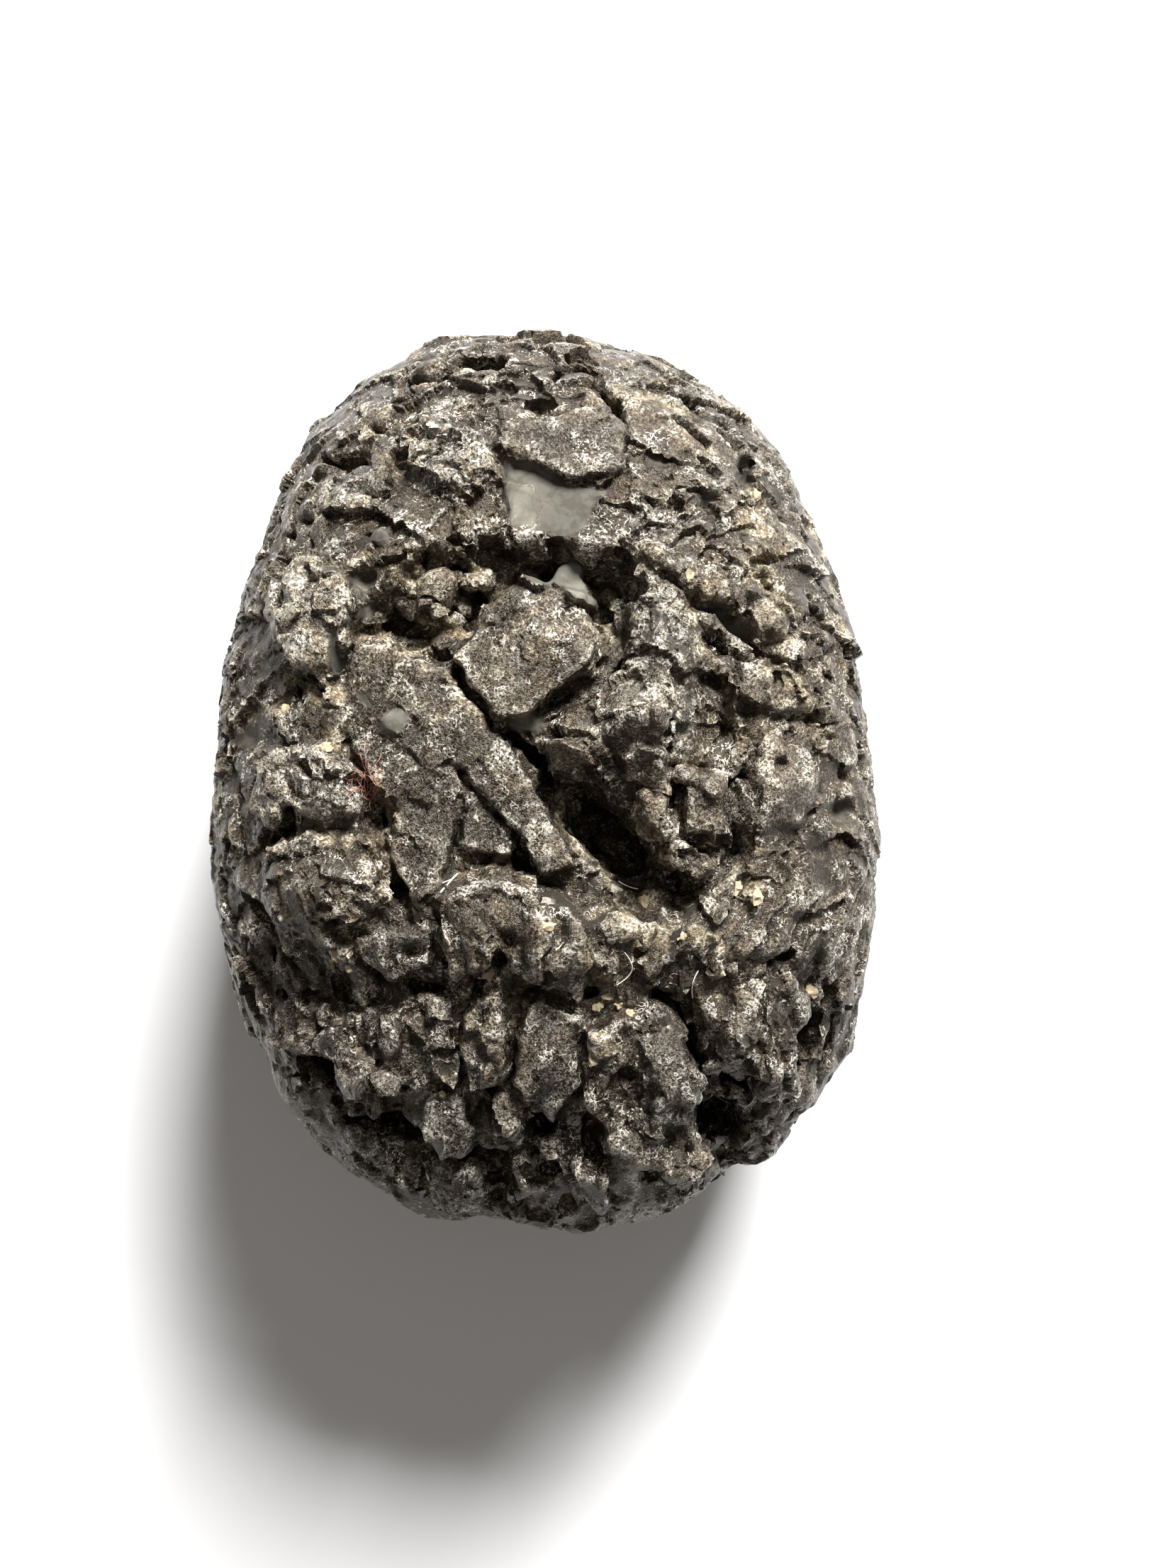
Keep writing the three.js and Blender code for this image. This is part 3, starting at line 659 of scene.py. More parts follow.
LOWER_BLOCKS: tuple[Tool, ...] = (
    Block(-1.0, ((-9.6, -7.4), (-6.6, -7.2), (-4.4, -6.0), (-3.6, -8.4), (0.4, -8.4), (3.4, -8.8),
                 (8.0, -7.6), (12.4, -8.2), (12.4, -13.6), (9.4, -18.2), (4.2, -20.2), (-3.0, -20.0),
                 (-6.6, -18.2), (-9.8, -13.4), (-10.6, -10.0)), edge=3.0),
    Block(0.7, ((-4.2, -4.6), (-2.2, -3.8), (0.2, -4.2), (1.9, -5.2), (2.1, -7.6), (1.7, -9.2),
                (0.0, -8.4), (-1.4, -7.0), (-3.6, -8.2), (-4.2, -6.4)), crown=0.3, edge=0.3, grain=ROUGH),
    Block(1.2, ((-0.1, -8.8), (1.7, -9.6), (1.6, -12.4), (1.1, -13.4), (0.5, -14.6), (-0.3, -13.3),
                (-1.2, -12.6), (-1.0, -10.6)), edge=0.25, tilt=(0.1, -0.08), grain=PLATE),
    Block(1.0, ((-3.0, -9.2), (-1.6, -8.6), (-1.3, -10.0), (-1.7, -12.6), (-3.1, -13.2), (-3.4, -10.4)),
          edge=0.25, tilt=(0.2, -0.08), grain=PLATE),
    Block(1.3, ((1.9, -10.2), (3.2, -9.7), (5.2, -9.4), (6.1, -11.4), (6.9, -12.8), (6.4, -14.6),
                (7.4, -17.4), (5.8, -19.4), (2.8, -19.6), (1.2, -16.6), (2.2, -14.4), (1.8, -12.6)),
          crown=0.3, edge=0.4, grain=ROUGH),
    Block(0.6, ((4.0, -10.4), (5.6, -10.2), (6.4, -12.8), (6.2, -14.4), (4.4, -14.2), (4.8, -12.4)),
          edge=0.25, tilt=(0.15, -0.1), grain=PLATE),
    Block(1.2, ((8.2, -8.8), (10.6, -8.2), (11.6, -9.4), (10.9, -11.4), (11.2, -13.2), (10.2, -14.0),
                (8.8, -13.2), (7.8, -11.0)), crown=0.2, edge=0.3, tilt=(0.1, 0.0), grain=ROUGH),
    Block(0.9, ((-8.7, -9.8), (-6.4, -9.6), (-4.6, -10.4), (-4.4, -12.4), (-5.6, -13.6), (-8.6, -12.6),
                (-9.6, -11.0)), edge=0.3, tilt=(-0.05, -0.1), grain=ROUGH),
    # flakes that hang towards the lower end like torn cloth, with caves under them
    Block(0.7, ((-7.6, -6.2), (-4.6, -5.8), (-4.6, -7.6), (-6.2, -8.3), (-7.4, -7.4)), edge=0.2,
          tilt=(0.1, -0.2), grain=PLATE),
    Block(0.7, ((-11.6, -9.4), (-9.4, -10.0), (-8.0, -11.4), (-6.2, -12.6), (-6.4, -13.3), (-8.4, -12.7),
                (-10.0, -11.9), (-11.8, -11.2)), edge=0.2, tilt=(0.0, -0.25), grain=ROUGH),
    Block(0.8, ((-8.8, -13.1), (-7.0, -13.1), (-6.9, -14.2), (-7.6, -14.9), (-8.6, -14.6)), edge=0.2,
          tilt=(0.2, -0.2), grain=ROUGH),
    Block(1.1, ((-4.9, -13.2), (-3.2, -13.4), (-2.9, -15.0), (-3.0, -16.2), (-4.6, -16.2), (-5.2, -15.0)),
          edge=0.2, tilt=(0.0, -0.15), grain=PLATE),
    Block(0.8, ((-4.7, -9.0), (-3.9, -9.2), (-3.7, -11.4), (-3.9, -13.0), (-4.6, -12.2)), edge=0.2,
          tilt=(-0.2, -0.1), grain=ROUGH),
    Block(0.7, ((-2.4, -13.4), (-1.2, -13.4), (-1.0, -15.2), (-1.6, -15.8), (-2.2, -15.2)), edge=0.2,
          tilt=(0.2, -0.2), grain=ROUGH),
    Block(0.9, ((-6.2, -16.6), (-4.0, -16.9), (-2.6, -17.0), (-2.8, -18.8), (-5.0, -19.4), (-6.6, -18.0)),
          crown=0.2, edge=0.3, tilt=(0.0, -0.1), grain=ROUGH),
    Block(0.7, ((-1.2, -16.4), (0.4, -16.2), (0.8, -17.6), (0.0, -19.2), (-1.0, -18.6)), edge=0.2,
          tilt=(-0.3, 0.0), grain=ROUGH),
    Block(0.7, ((1.6, -16.6), (2.6, -16.4), (2.8, -18.4), (1.6, -19.0), (1.2, -17.8)), edge=0.2,
          tilt=(0.3, 0.0), grain=ROUGH),
    Crack(((-4.8, -16.4), (-3.4, -16.6), (-2.0, -16.6)), 0.7, 1.4),
    Crack(((-10.7, -12.2), (-9.6, -12.8), (-8.9, -13.6)), 0.6, 1.3),
    Crack(((-8.7, -8.2), (-8.6, -9.6), (-9.0, -10.4)), 0.5, 0.8),
    Ridge(((6.2, -8.6), (8.0, -10.4), (9.4, -12.6)), 0.8, 0.6),
    Ridge(((3.0, -15.0), (4.6, -16.0), (6.6, -17.0)), 0.9, 0.5),
    Hollow((-4.6, -8.6), (0.8, 0.4), 1.3),
    Hollow((-1.7, -7.2), (0.4, 0.5), 1.2),
    Hollow((9.5, -7.4), (1.6, 0.35), 1.0, -4),
    Hollow((11.8, -11.8), (1.9, 0.75), 3.2, 75),
    Hollow((8.1, -15.4), (1.7, 1.3), 3.3, -50),
    Hollow((8.4, -13.0), (1.3, 0.6), 2.1, -35),
    Hollow((8.7, -12.6), (0.9, 0.7), 1.4, -40),
    Hollow((-6.6, -15.4), (1.7, 0.65), 2.4, -10),
    Hollow((-8.2, -14.9), (0.8, 0.4), 1.4, 10),
    Hollow((0.0, -14.8), (1.1, 0.8), 2.6, -30),
    Hollow((2.2, -15.4), (1.2, 0.45), 1.8, 90),
    Hollow((-2.1, -13.0), (0.6, 0.4), 1.4),
    Hollow((-2.0, -17.6), (1.0, 1.4), 1.2),
    Hollow((8.7, -17.6), (0.8, 1.2), 1.1, 40),
    Hollow((-9.4, -12.3), (1.1, 0.4), 0.9, -10),
    Crack(((0.3, -8.0), (-0.4, -8.8), (-0.7, -9.9), (-1.0, -10.8), (-1.3, -11.6), (-1.2, -12.8)), 0.35,
          1.3),
    Crack(((-1.8, -7.6), (-2.6, -8.5), (-3.2, -9.8), (-3.4, -11.0)), 0.35, 1.2),
    Crack(((4.7, -8.7), (5.9, -9.6), (6.5, -11.0), (7.1, -12.8), (7.0, -14.2), (7.4, -15.2),
           (7.9, -16.4)), 0.9, 2.6),
)

CRACKS: tuple[Tool, ...] = (
    Crack(((-4.5, 2.0), (-3.8, 1.0), (-3.2, 0.3), (-1.7, -1.4), (-1.0, -2.2)), 0.16, 0.9, 0.4),
    Crack(((-1.2, -2.0), (-0.9, -2.5), (-0.8, -3.2), (0.0, -4.0)), 0.55, 1.4, 0.7),
    Crack(((-3.2, 0.2), (-3.5, -0.9), (-3.5, -2.0), (-3.8, -3.2), (-4.3, -4.3)), 0.2, 0.7),
    Crack(((-3.9, 5.4), (-3.2, 4.2), (-2.9, 3.6), (-2.2, 2.9), (-1.5, 2.2), (-1.2, 1.6)), 0.35, 1.3),
    Crack(((-1.4, 2.1), (-0.5, 1.5), (0.1, 0.5), (0.7, -0.6)), 0.6, 1.5),
    Crack(((3.9, 6.4), (3.5, 4.8), (2.8, 3.8), (1.6, 3.1)), 0.5, 1.5),
    Crack(((-6.6, 6.2), (-5.6, 5.65), (-4.8, 5.9), (-4.1, 5.6), (-3.8, 5.2)), 0.3, 0.9),
    Crack(((-8.6, 6.4), (-8.7, 5.5), (-8.6, 4.6)), 0.5, 0.5, grain=GLASS),
    Crack(((5.6, 0.9), (6.6, 0.7), (7.9, 0.6)), 0.25, 0.7),
    Crack(((-4.0, -4.4), (-4.2, -5.6), (-4.0, -6.2), (-3.9, -7.4), (-4.0, -8.5)), 0.25, 0.8),
    Crack(((-3.3, -12.0), (-2.7, -14.0), (-2.4, -15.2)), 0.2, 0.6),
    Crack(((-5.4, -16.8), (-5.3, -18.2), (-5.2, -19.6)), 0.5, 1.0),
    Crack(((-8.1, -2.2), (-7.6, -2.7), (-7.0, -3.0)), 0.25, 0.5),
    Crack(((4.6, 1.2), (5.0, 2.2), (5.6, 3.0), (5.9, 4.4)), 0.3, 0.6),
    Crack(((8.0, 7.8), (8.6, 6.4), (9.4, 5.2), (9.8, 3.8)), 0.3, 0.7),
    Crack(((12.6, -8.8), (13.4, -10.4), (13.3, -12.4), (12.6, -14.2)), 0.3, 0.7),
)

PITS: tuple[Tool, ...] = (
    Hollow((-7.0, 15.5), (0.7, 0.4), 0.7), Hollow((0.75, 17.6), (0.4, 0.4), 0.8),
    Hollow((0.0, 16.3), (0.8, 0.35), 0.7), Hollow((-1.5, 17.1), (0.4, 0.3), 0.6),
    Hollow((8.2, 15.8), (0.8, 0.25), 0.6, -25), Hollow((5.6, 11.7), (0.35, 0.55), 0.8),
    Hollow((7.1, 12.2), (0.8, 0.4), 0.4, 0, 0.9, GLASS),
    Hollow((5.0, 13.7), (0.6, 0.3), 0.4, 0, 0.9, GLASS), Hollow((9.6, 9.7), (0.7, 0.3), 0.8),
    Hollow((10.6, 11.7), (0.3, 0.3), 0.6), Hollow((-6.5, 6.8), (0.8, 0.5), 0.8, 20, 0.6, CLAY),
    Hollow((-3.3, 7.1), (0.3, 0.3), 0.7), Hollow((0.3, 9.0), (0.35, 0.35), 1.2),
    Hollow((-4.2, 5.6), (0.4, 0.3), 0.7), Hollow((4.0, 7.9), (0.3, 0.7), 1.2),
    Hollow((2.4, 5.2), (0.25, 0.6), 1.0), Hollow((3.6, 4.8), (0.3, 0.8), 0.8, -30),
    Hollow((0.8, 3.6), (0.7, 0.3), 0.9, 20), Hollow((10.7, 2.6), (0.3, 0.2), 0.5),
    Hollow((13.6, 0.4), (0.4, 0.3), 0.6, 0, 0.5, CLAY), Hollow((8.6, 0.4), (0.2, 0.45), 0.8, 35),
    Hollow((10.1, 0.8), (0.3, 0.3), 0.5), Hollow((5.2, 1.4), (0.35, 0.25), 0.7),
    Hollow((-7.1, -1.5), (0.35, 0.4), 0.6), Hollow((-7.5, -6.1), (0.7, 0.25), 0.7),
    Hollow((-11.7, -7.3), (0.25, 0.5), 0.8), Hollow((-11.5, -9.2), (0.3, 0.5), 0.7),
    Hollow((5.4, -0.9), (0.35, 0.6), 0.5), Hollow((6.4, -2.5), (0.6, 0.25), 0.8, -20),
    Hollow((-1.1, -6.3), (0.4, 0.5), 0.6), Hollow((4.2, -6.9), (0.3, 0.25), 0.7),
    Hollow((2.5, -7.5), (0.3, 0.25), 0.6), Hollow((2.2, -8.7), (0.35, 0.25), 0.7),
    Hollow((-8.3, -14.2), (0.6, 0.3), 0.8), Hollow((1.3, -19.2), (0.45, 0.7), 0.9),
    Hollow((-2.3, -19.4), (0.6, 0.5), 0.9), Hollow((2.9, 8.0), (0.8, 1.0), 0.8),
    Hollow((-13.0, 2.1), (0.9, 0.7), 0.4, 0, 0.9, GLASS), Hollow((-12.9, 11.6), (0.6, 0.3), 0.6, 60),
    Hollow((-9.9, 11.6), (0.7, 0.3), 0.6, 10), Hollow((-7.2, 12.2), (0.8, 0.3), 0.6, 0),
    Hollow((-11.2, 10.9), (0.5, 0.3), 0.5, 20), Hollow((6.6, 16.8), (0.5, 0.3), 0.6, -30),
    Hollow((11.8, 7.6), (0.35, 0.3), 0.5), Hollow((12.4, 4.8), (0.4, 0.25), 0.6),
    Hollow((-5.1, -7.0), (0.5, 0.4), 0.5), Hollow((-9.8, -9.2), (0.6, 0.35), 0.6),
    Hollow((3.6, -12.2), (0.4, 0.5), 0.6), Hollow((4.6, -16.6), (0.6, 0.4), 0.8),
    Hollow((0.6, -17.0), (0.7, 0.4), 0.9),
)

CHIPS: tuple[Tool, ...] = (
    # chips, flakes and small plates
    Hollow((-6.0, 2.6), (0.75, 0.55), -0.25, 30, 0.35, MILKY),
    Hollow((-7.4, 3.6), (0.6, 0.25), -0.1, -40, 0.5, GLASS),
    Block(1.4, ((-0.7, 8.8), (-0.4, 8.3), (0.0, 8.15), (0.6, 8.4), (1.0, 8.2), (1.2, 7.7), (1.6, 7.55),
                (2.4, 7.4), (2.6, 7.7), (2.0, 8.05), (1.8, 8.8), (1.9, 9.3), (1.4, 9.6), (0.9, 9.35),
                (0.6, 9.0), (0.0, 8.85)), edge=0.15, grain=MILKY),
    Block(0.4, ((2.3, -5.7), (3.4, -5.1), (4.0, -5.2), (3.8, -6.2), (2.8, -6.3)), edge=0.2, grain=PLATE),
    Block(0.4, ((2.0, -10.2), (2.9, -10.3), (3.0, -11.2), (2.1, -11.4)), edge=0.2, grain=CLAY),
    Hollow((-0.6, 2.5), (1.0, 0.55), -0.35, 10, 0.7, MILKY),
    Hollow((-7.4, 7.3), (0.5, 0.3), -0.3, 40, 0.5, GLASS),
    Hollow((-8.7, 3.7), (0.6, 0.5), -0.4, 0, 0.4, CLAY),
    Hollow((-1.6, -3.1), (0.6, 0.2), -0.2, 20, 0.5, GLASS),
    Hollow((-6.8, 10.4), (0.5, 0.5), -0.3, 0, 0.5, GLASS),
    Hollow((9.4, 12.6), (1.1, 0.35), -0.4, -4, 0.4, CLAY),
    Hollow((9.9, 6.7), (0.6, 0.5), -0.2, 0, 0.4, CLAY),
    Hollow((8.9, -4.5), (0.6, 0.35), -0.4, 20, 0.4, CLAY),
    Hollow((-8.0, -7.0), (0.5, 0.35), -0.3, 0, 0.4, CLAY),
    Hollow((-4.1, -12.4), (0.35, 0.3), -0.3, 0, 0.4, CLAY),
    Hollow((-8.4, -2.3), (1.4, 0.4), -0.3, -12, 0.5, CLAY),
    Hollow((-11.2, 3.0), (0.4, 0.4), -0.2, 0, 0.4, CLAY),
    Hollow((-5.4, -11.8), (1.1, 1.0), 0.1, 0, 0.5, PLATE),
)

TINTS: tuple[Tool, ...] = (
    # colour alone: clay, dust and bruises where nothing stands out
    stain(((-7.9, 6.2), (-6.9, 6.5), (-6.2, 5.7), (-5.4, 5.5), (-4.6, 5.9)), 0.7),
    stain(((-8.4, 8.6), (-7.6, 9.6), (-6.6, 10.0)), 0.4),
    stain(((-3.3, 3.8), (-2.9, 3.2), (-2.3, 2.7)), 0.4),
    stain(((0.9, 0.1), (1.0, -1.2), (2.0, -3.0), (3.2, -4.2), (4.8, -4.9)), 1.1),
    stain(((2.8, -5.0), (4.4, -6.4), (6.4, -6.2), (8.2, -6.8)), 1.6),
    stain(((1.8, -6.6), (2.6, -8.2), (3.8, -8.6)), 1.2),
    Hollow((3.5, -8.6), (0.9, 0.6), 0.0, 0, 0.8, FROST),
    stain(((4.0, 9.2), (5.4, 8.8), (6.6, 8.0), (7.4, 7.8)), 0.9),
    stain(((8.6, 12.0), (9.6, 10.6), (9.2, 9.0), (10.0, 7.8), (9.4, 6.0)), 2.1),
    stain(((9.2, 5.0), (10.6, 4.2), (11.8, 3.0), (12.2, 1.6)), 1.0),
    stain(((11.6, 13.4), (12.8, 10.0), (13.8, 6.0)), 0.8),
    stain(((-11.0, 4.4), (-9.8, 4.2), (-9.0, 2.4), (-8.2, 1.4)), 0.8),
    stain(((-6.9, 0.6), (-6.2, -0.8), (-5.9, -2.0)), 0.6),
    stain(((-8.4, -5.6), (-7.8, -7.0), (-7.2, -8.4)), 0.4),
    stain(((3.4, 17.0), (5.0, 16.8), (6.4, 16.2)), 0.9),
    bruise((-0.9, 5.2), (0.5, 0.9)), bruise((2.0, 1.9), (0.7, 0.6)),
    bruise((7.1, 13.2), (1.4, 0.8)), bruise((5.2, 10.8), (1.8, 0.9), -10),
    bruise((4.0, 18.4), (1.2, 0.6)), bruise((9.4, 16.4), (1.2, 0.6), -40),
    bruise((-9.0, 10.4), (1.2, 0.7)), bruise((-4.0, 16.4), (1.4, 0.7), 10),
    bruise((11.4, -4.8), (1.4, 0.9)), bruise((13.6, -7.0), (0.8, 1.6), 10),
    bruise((7.1, -0.2), (0.5, 0.6), -30), bruise((10.6, 13.8), (2.2, 1.6), -40),
    bruise((-8.6, 12.8), (2.2, 1.4), 20), bruise((7.4, 17.6), (1.6, 0.8), -20),
)

FEATURES: tuple[Tool, ...] = (
    MIDDLE_BLOCKS + UPPER_BLOCKS + SIDE_BLOCKS + LOWER_BLOCKS + CRACKS + PITS + CHIPS + TINTS
)


# ---------------------------------------------------------------- the stone


@dataclass
class Nodule:
    """The stone itself: one closed skin. Sizes are in millimetres."""

    name: str = "obsidian_nodule_skin"
    form: PebbleForm = field(default_factory=PebbleForm)
    front_bias: float = 0.35  # crowds the first mesh's points towards the crown
    lean_up: float = 0.6  # how far relief on the crown rises straight up instead of square to the form
    crown_lean: float = 3.0  # the same, more, where the crown is level
    rim_fade: float = 4.0  # height over which the crown's features begin
    rim_drop: float = 2.0  # how far below the girdle they begin
    worn_rim: float = 0.09  # share of the reach, inside the outline, that is worn
    flat_reach: float = 6.5  # the back's lumps grow from the flat spot to this distance from it
    back_relief: float = 0.7
    blade_relief: float = 0.32
    blade_run: float = 4.0  # distance over which the lower end's blades begin
    narrow_run: float = 6.0  # distance over which its flakes grow long and narrow
    narrower: float = 0.3
    longer: float = 0.45
    facets: Fracture = Fracture(6.5, 1.1, 0.9, 0.3, 3)
    lumps: Fracture = Fracture(3.2, 0.8, 0.7, 0.35, 4)
    blades: Fracture = Fracture(1.5, 0.9, 1.0, 0.0, 63, (0.7, 1.7, 1.2), (0.0, -0.7, 0.0))
    splinters: Fracture = Fracture(0.8, 0.10, 0.10, 0.0, 53, (1.6, 0.6, 1.0))
    large_facets: BrokenPlanes = BrokenPlanes(2.9, 0.38, 41)
    small_facets: BrokenPlanes = BrokenPlanes(1.15, 0.10, 45)
    tiny_facets: BrokenPlanes = BrokenPlanes(0.5, 0.02, 49)
    rough_waves: tuple[Wave, Wave] = ((0.22, 1.3, 5), (0.1, 0.45, 11))
    fine_waves: tuple[Wave, Wave] = ((0.5, 2.6, 21), (0.12, 0.6, 27))
    splinter_relief: float = 0.4
    crevice_depth: float = 0.10
    pit_depth: float = 0.45
    grain_relief: float = 0.02
    crown_calm: float = 0.6  # share of the back's lumps that the crown lacks
    plate_calm: float = 0.75  # share of the facets' relief that a dusty plate lacks
    glass_calm: float = 0.95  # share of the relief that smooth glass lacks
    rim_strength: float = 0.45  # share of the relief that the worn rim and the underside keep
    edge_step: float = 0.06  # height over its near surroundings that makes a point an edge
    edge_rounds: int = 10
    hill_step: float = 0.45  # the same over its wide surroundings, that makes it a hill
    hill_rounds: int = 45
    voxel: float = 0.13
    crown_triangles: int = 150000
    underside_triangles: int = 44000
    crease: float = 38.0  # degrees; sharper edges are shaded as edges

    def build(self) -> bpy.types.Object:
        """Sculpts the stone.

        Returns:
            The finished object.
        """
        bpy.ops.object.select_all(action="DESELECT")
        level = 8
        bpy.ops.mesh.primitive_ico_sphere_add(subdivisions=level, radius=1.0)
        stone = bpy.context.object
        stone.name = self.name
        stone.data.name = self.name
        self.rough_out(stone)
        self.remesh(stone)
        self.work_surface(stone)
        self.decimate(stone)
        self.drop_specks(stone)
        self.write_attributes(stone)
        return stone

    def inner_share(self, points: np.ndarray) -> np.ndarray:
        """How far each point lies inside the worn rim, which is the stone's outline from above.

        Args:
            points: Places in millimetres, one row of three each.

        Returns:
            0 on the rim, 1 a little inside it.
        """
        reach = self.form.reach(np.arctan2(points[:, 1] - self.form.outline_centre_y, points[:, 0]))
        level = np.hypot(points[:, 0], points[:, 1] - self.form.outline_centre_y) / reach
        return smooth((1.0 - level) / self.worn_rim)

    def crown_share(self, points: np.ndarray) -> np.ndarray:
        """1 on the crown, 0 on the underside."""
        return smooth((points[:, 2] - self.form.girdle_height + self.rim_drop) / self.rim_fade)

    def rough_out(self, stone: bpy.types.Object) -> None:
        """Gives the sphere the stone's form and its large blocks, hollows and cracks.

        Args:
            stone: The object to change.
        """
        direction = read_points(stone.data)
        direction[:, 2] += self.front_bias
        direction /= np.linalg.norm(direction, axis=1)[:, None]
        points = self.form.surface(direction)
        write_points(stone.data, points)
        normal = read_normals(stone.data)
        share = self.crown_share(points)
        lean = share * (self.lean_up + self.crown_lean * np.clip(normal[:, 2], 0, 1) ** 3)
        push = normal + np.outer(lean, (0.0, 0.0, 1.0)).astype(np.float32)
        push /= np.linalg.norm(push, axis=1)[:, None]
        bent = warped(points, *self.rough_waves)
        height = share * self.features_relief(bent[:, :2])
        from_flat = smooth(np.hypot(points[:, 0], points[:, 1]) / self.flat_reach)
        worn = np.where(direction[:, 2] < 0, from_flat, 1)
        lumps = np.tanh(self.facets.relief(bent)[0] + self.lumps.relief(bent)[0])
        height += worn * (1 - self.crown_calm * share) * self.back_relief * lumps
        height += sum(knob.relief(points, self.form.girdle_height) for knob in RIM)
        lower = smooth((LOWER_END - points[:, 1]) / self.blade_run)
        blades = self.blade_relief * lower * self.blades.relief(bent)[0]
        height += self.inner_share(points) * share * blades
        points = points + push * height[:, None]
        points[:, 2] = np.maximum(points[:, 2], 0)
        write_points(stone.data, points)

    def features_relief(self, xy: np.ndarray) -> np.ndarray:
        """Sum of the features' heights.

        Args:
            xy: Places on the crown, one row of two each.

        Returns:
            One height per place.
        """
        total = np.zeros(len(xy), np.float32)
        for tool in FEATURES:
            total += tool.relief(xy).astype(np.float32)
        return total

    def remesh(self, stone: bpy.types.Object) -> None:
        """Gives steep walls as many faces as level ground.

        Args:
            stone: The object to change.
        """
        modifier = stone.modifiers.new("even skin", "REMESH")
        modifier.mode = "VOXEL"
        modifier.voxel_size = self.voxel * 1.0
        apply_modifier(stone, modifier)

    def work_surface(self, stone: bpy.types.Object) -> None:
        """Breaks the skin into facets, ledges, crevices and pits.

        Args:
            stone: The object to change.
        """
        points = read_points(stone.data)
        normal = read_normals(stone.data)
        share = self.crown_share(points)
        calm = self.grain_share(points, Grain.PLATE) * share
        glass = (self.grain_share(points, Grain.GLASS) + self.grain_share(points, Grain.MILKY)) * share
        bent = warped(points, *self.fine_waves)
        lower = smooth((LOWER_END - points[:, 1]) / self.narrow_run)
        bent[:, 0] *= 1 + self.narrower * lower
        bent[:, 1] *= 1 - self.longer * lower
        large, large_draw = self.large_facets.relief(bent)
        small, small_draw = self.small_facets.relief(bent)
        store(stone.data, "facet", 0.5 * large_draw + 0.5 * small_draw)
        splinters, border, draw = self.splinters.relief(diagonal(bent))
        restless = 0.3 + smooth(0.5 + 0.7 * fractal_noise(points, 5.0, 2, 61))
        crevices = self.crevice_depth * border * (draw > 0.8)
        pits = self.pit_depth * smooth((draw - 0.965) / 0.02) * (1 - border)
        fine = small + self.splinter_relief * splinters - crevices
        height = (large + fine * restless - pits) * (1 - self.plate_calm * calm)
        height += self.tiny_facets.relief(bent)[0]
        kept = self.rim_strength + (1 - self.rim_strength) * share * self.inner_share(points)
        height *= (1 - self.glass_calm * glass) * kept
        height += self.grain_relief * fractal_noise(points, 0.5, 2, 57) * (1 - glass)
        off_the_flat = np.where((points[:, 2] < 0.4) & (normal[:, 2] < -0.9), 0, 1)
        points = points + normal * (height * off_the_flat)[:, None]
        points[:, 2] = np.maximum(points[:, 2], 0)
        write_points(stone.data, points)

    def grain_share(self, points: np.ndarray, grain: Grain) -> np.ndarray:
        """How far each point lies in a feature of one grain.

        Args:
            points: Places in millimetres, one row of three each.
            grain: The grain to look for; a later feature of another grain hides it.

        Returns:
            One share per point, from 0 to 1.
        """
        total = np.zeros(len(points), np.float32)
        xy = points[:, :2]
        for tool in FEATURES:
            if tool.grain is None:
                continue
            own = tool.share(xy)
            total = np.maximum(total, own) if tool.grain is grain else total * (1 - own)
        return total

    def decimate(self, stone: bpy.types.Object) -> None:
        """Brings the triangle count under the limit, and keeps most of it for the crown.

        Args:
            stone: The object to change.
        """
        bpy.ops.object.mode_set(mode="EDIT")
        bpy.ops.mesh.select_mode(type="VERT")
        bpy.ops.mesh.select_all(action="SELECT")
        bpy.ops.mesh.quads_convert_to_tris()
        bpy.ops.object.mode_set(mode="OBJECT")
        self.thin(stone, False, self.underside_triangles)
        self.thin(stone, True, self.crown_triangles)

    def thin(self, stone: bpy.types.Object, crown: bool, limit: int) -> None:
        """Thins the faces of the crown, or those below it.

        Args:
            stone: The object to change.
            crown: True for the crown, False for the rest.
            limit: Triangles to leave there.
        """
        bpy.ops.object.mode_set(mode="EDIT")
        bpy.ops.mesh.select_mode(type="VERT")
        bpy.ops.mesh.select_all(action="DESELECT")
        bpy.ops.object.mode_set(mode="OBJECT")
        chosen = (self.crown_share(read_points(stone.data)) > 0.2) == crown
        stone.data.vertices.foreach_set("select", chosen)
        bpy.ops.object.mode_set(mode="EDIT")
        bpy.ops.mesh.select_mode(type="FACE")
        count = stone.data.total_face_sel
        bpy.ops.mesh.decimate(ratio=min(1.0, limit / count))
        bpy.ops.object.mode_set(mode="OBJECT")
        log.info("thinned %d triangles to %d, %d in all", count, limit, len(stone.data.polygons))

    def drop_specks(self, stone: bpy.types.Object) -> None:
        """Deletes the few faces that came loose from the skin when it was remeshed and thinned.

        Args:
            stone: The object to change.
        """
        bpy.ops.object.mode_set(mode="EDIT")
        bpy.ops.mesh.select_mode(type="VERT")
        bpy.ops.mesh.select_all(action="DESELECT")
        bpy.ops.object.mode_set(mode="OBJECT")
        summit = int(read_points(stone.data)[:, 2].argmax())
        stone.data.vertices[summit].select = True
        bpy.ops.object.mode_set(mode="EDIT")
        bpy.ops.mesh.select_linked()
        bpy.ops.mesh.select_all(action="INVERT")
        log.info("dropped %d loose points", stone.data.total_vert_sel)
        bpy.ops.mesh.delete(type="VERT")
        bpy.ops.object.mode_set(mode="OBJECT")

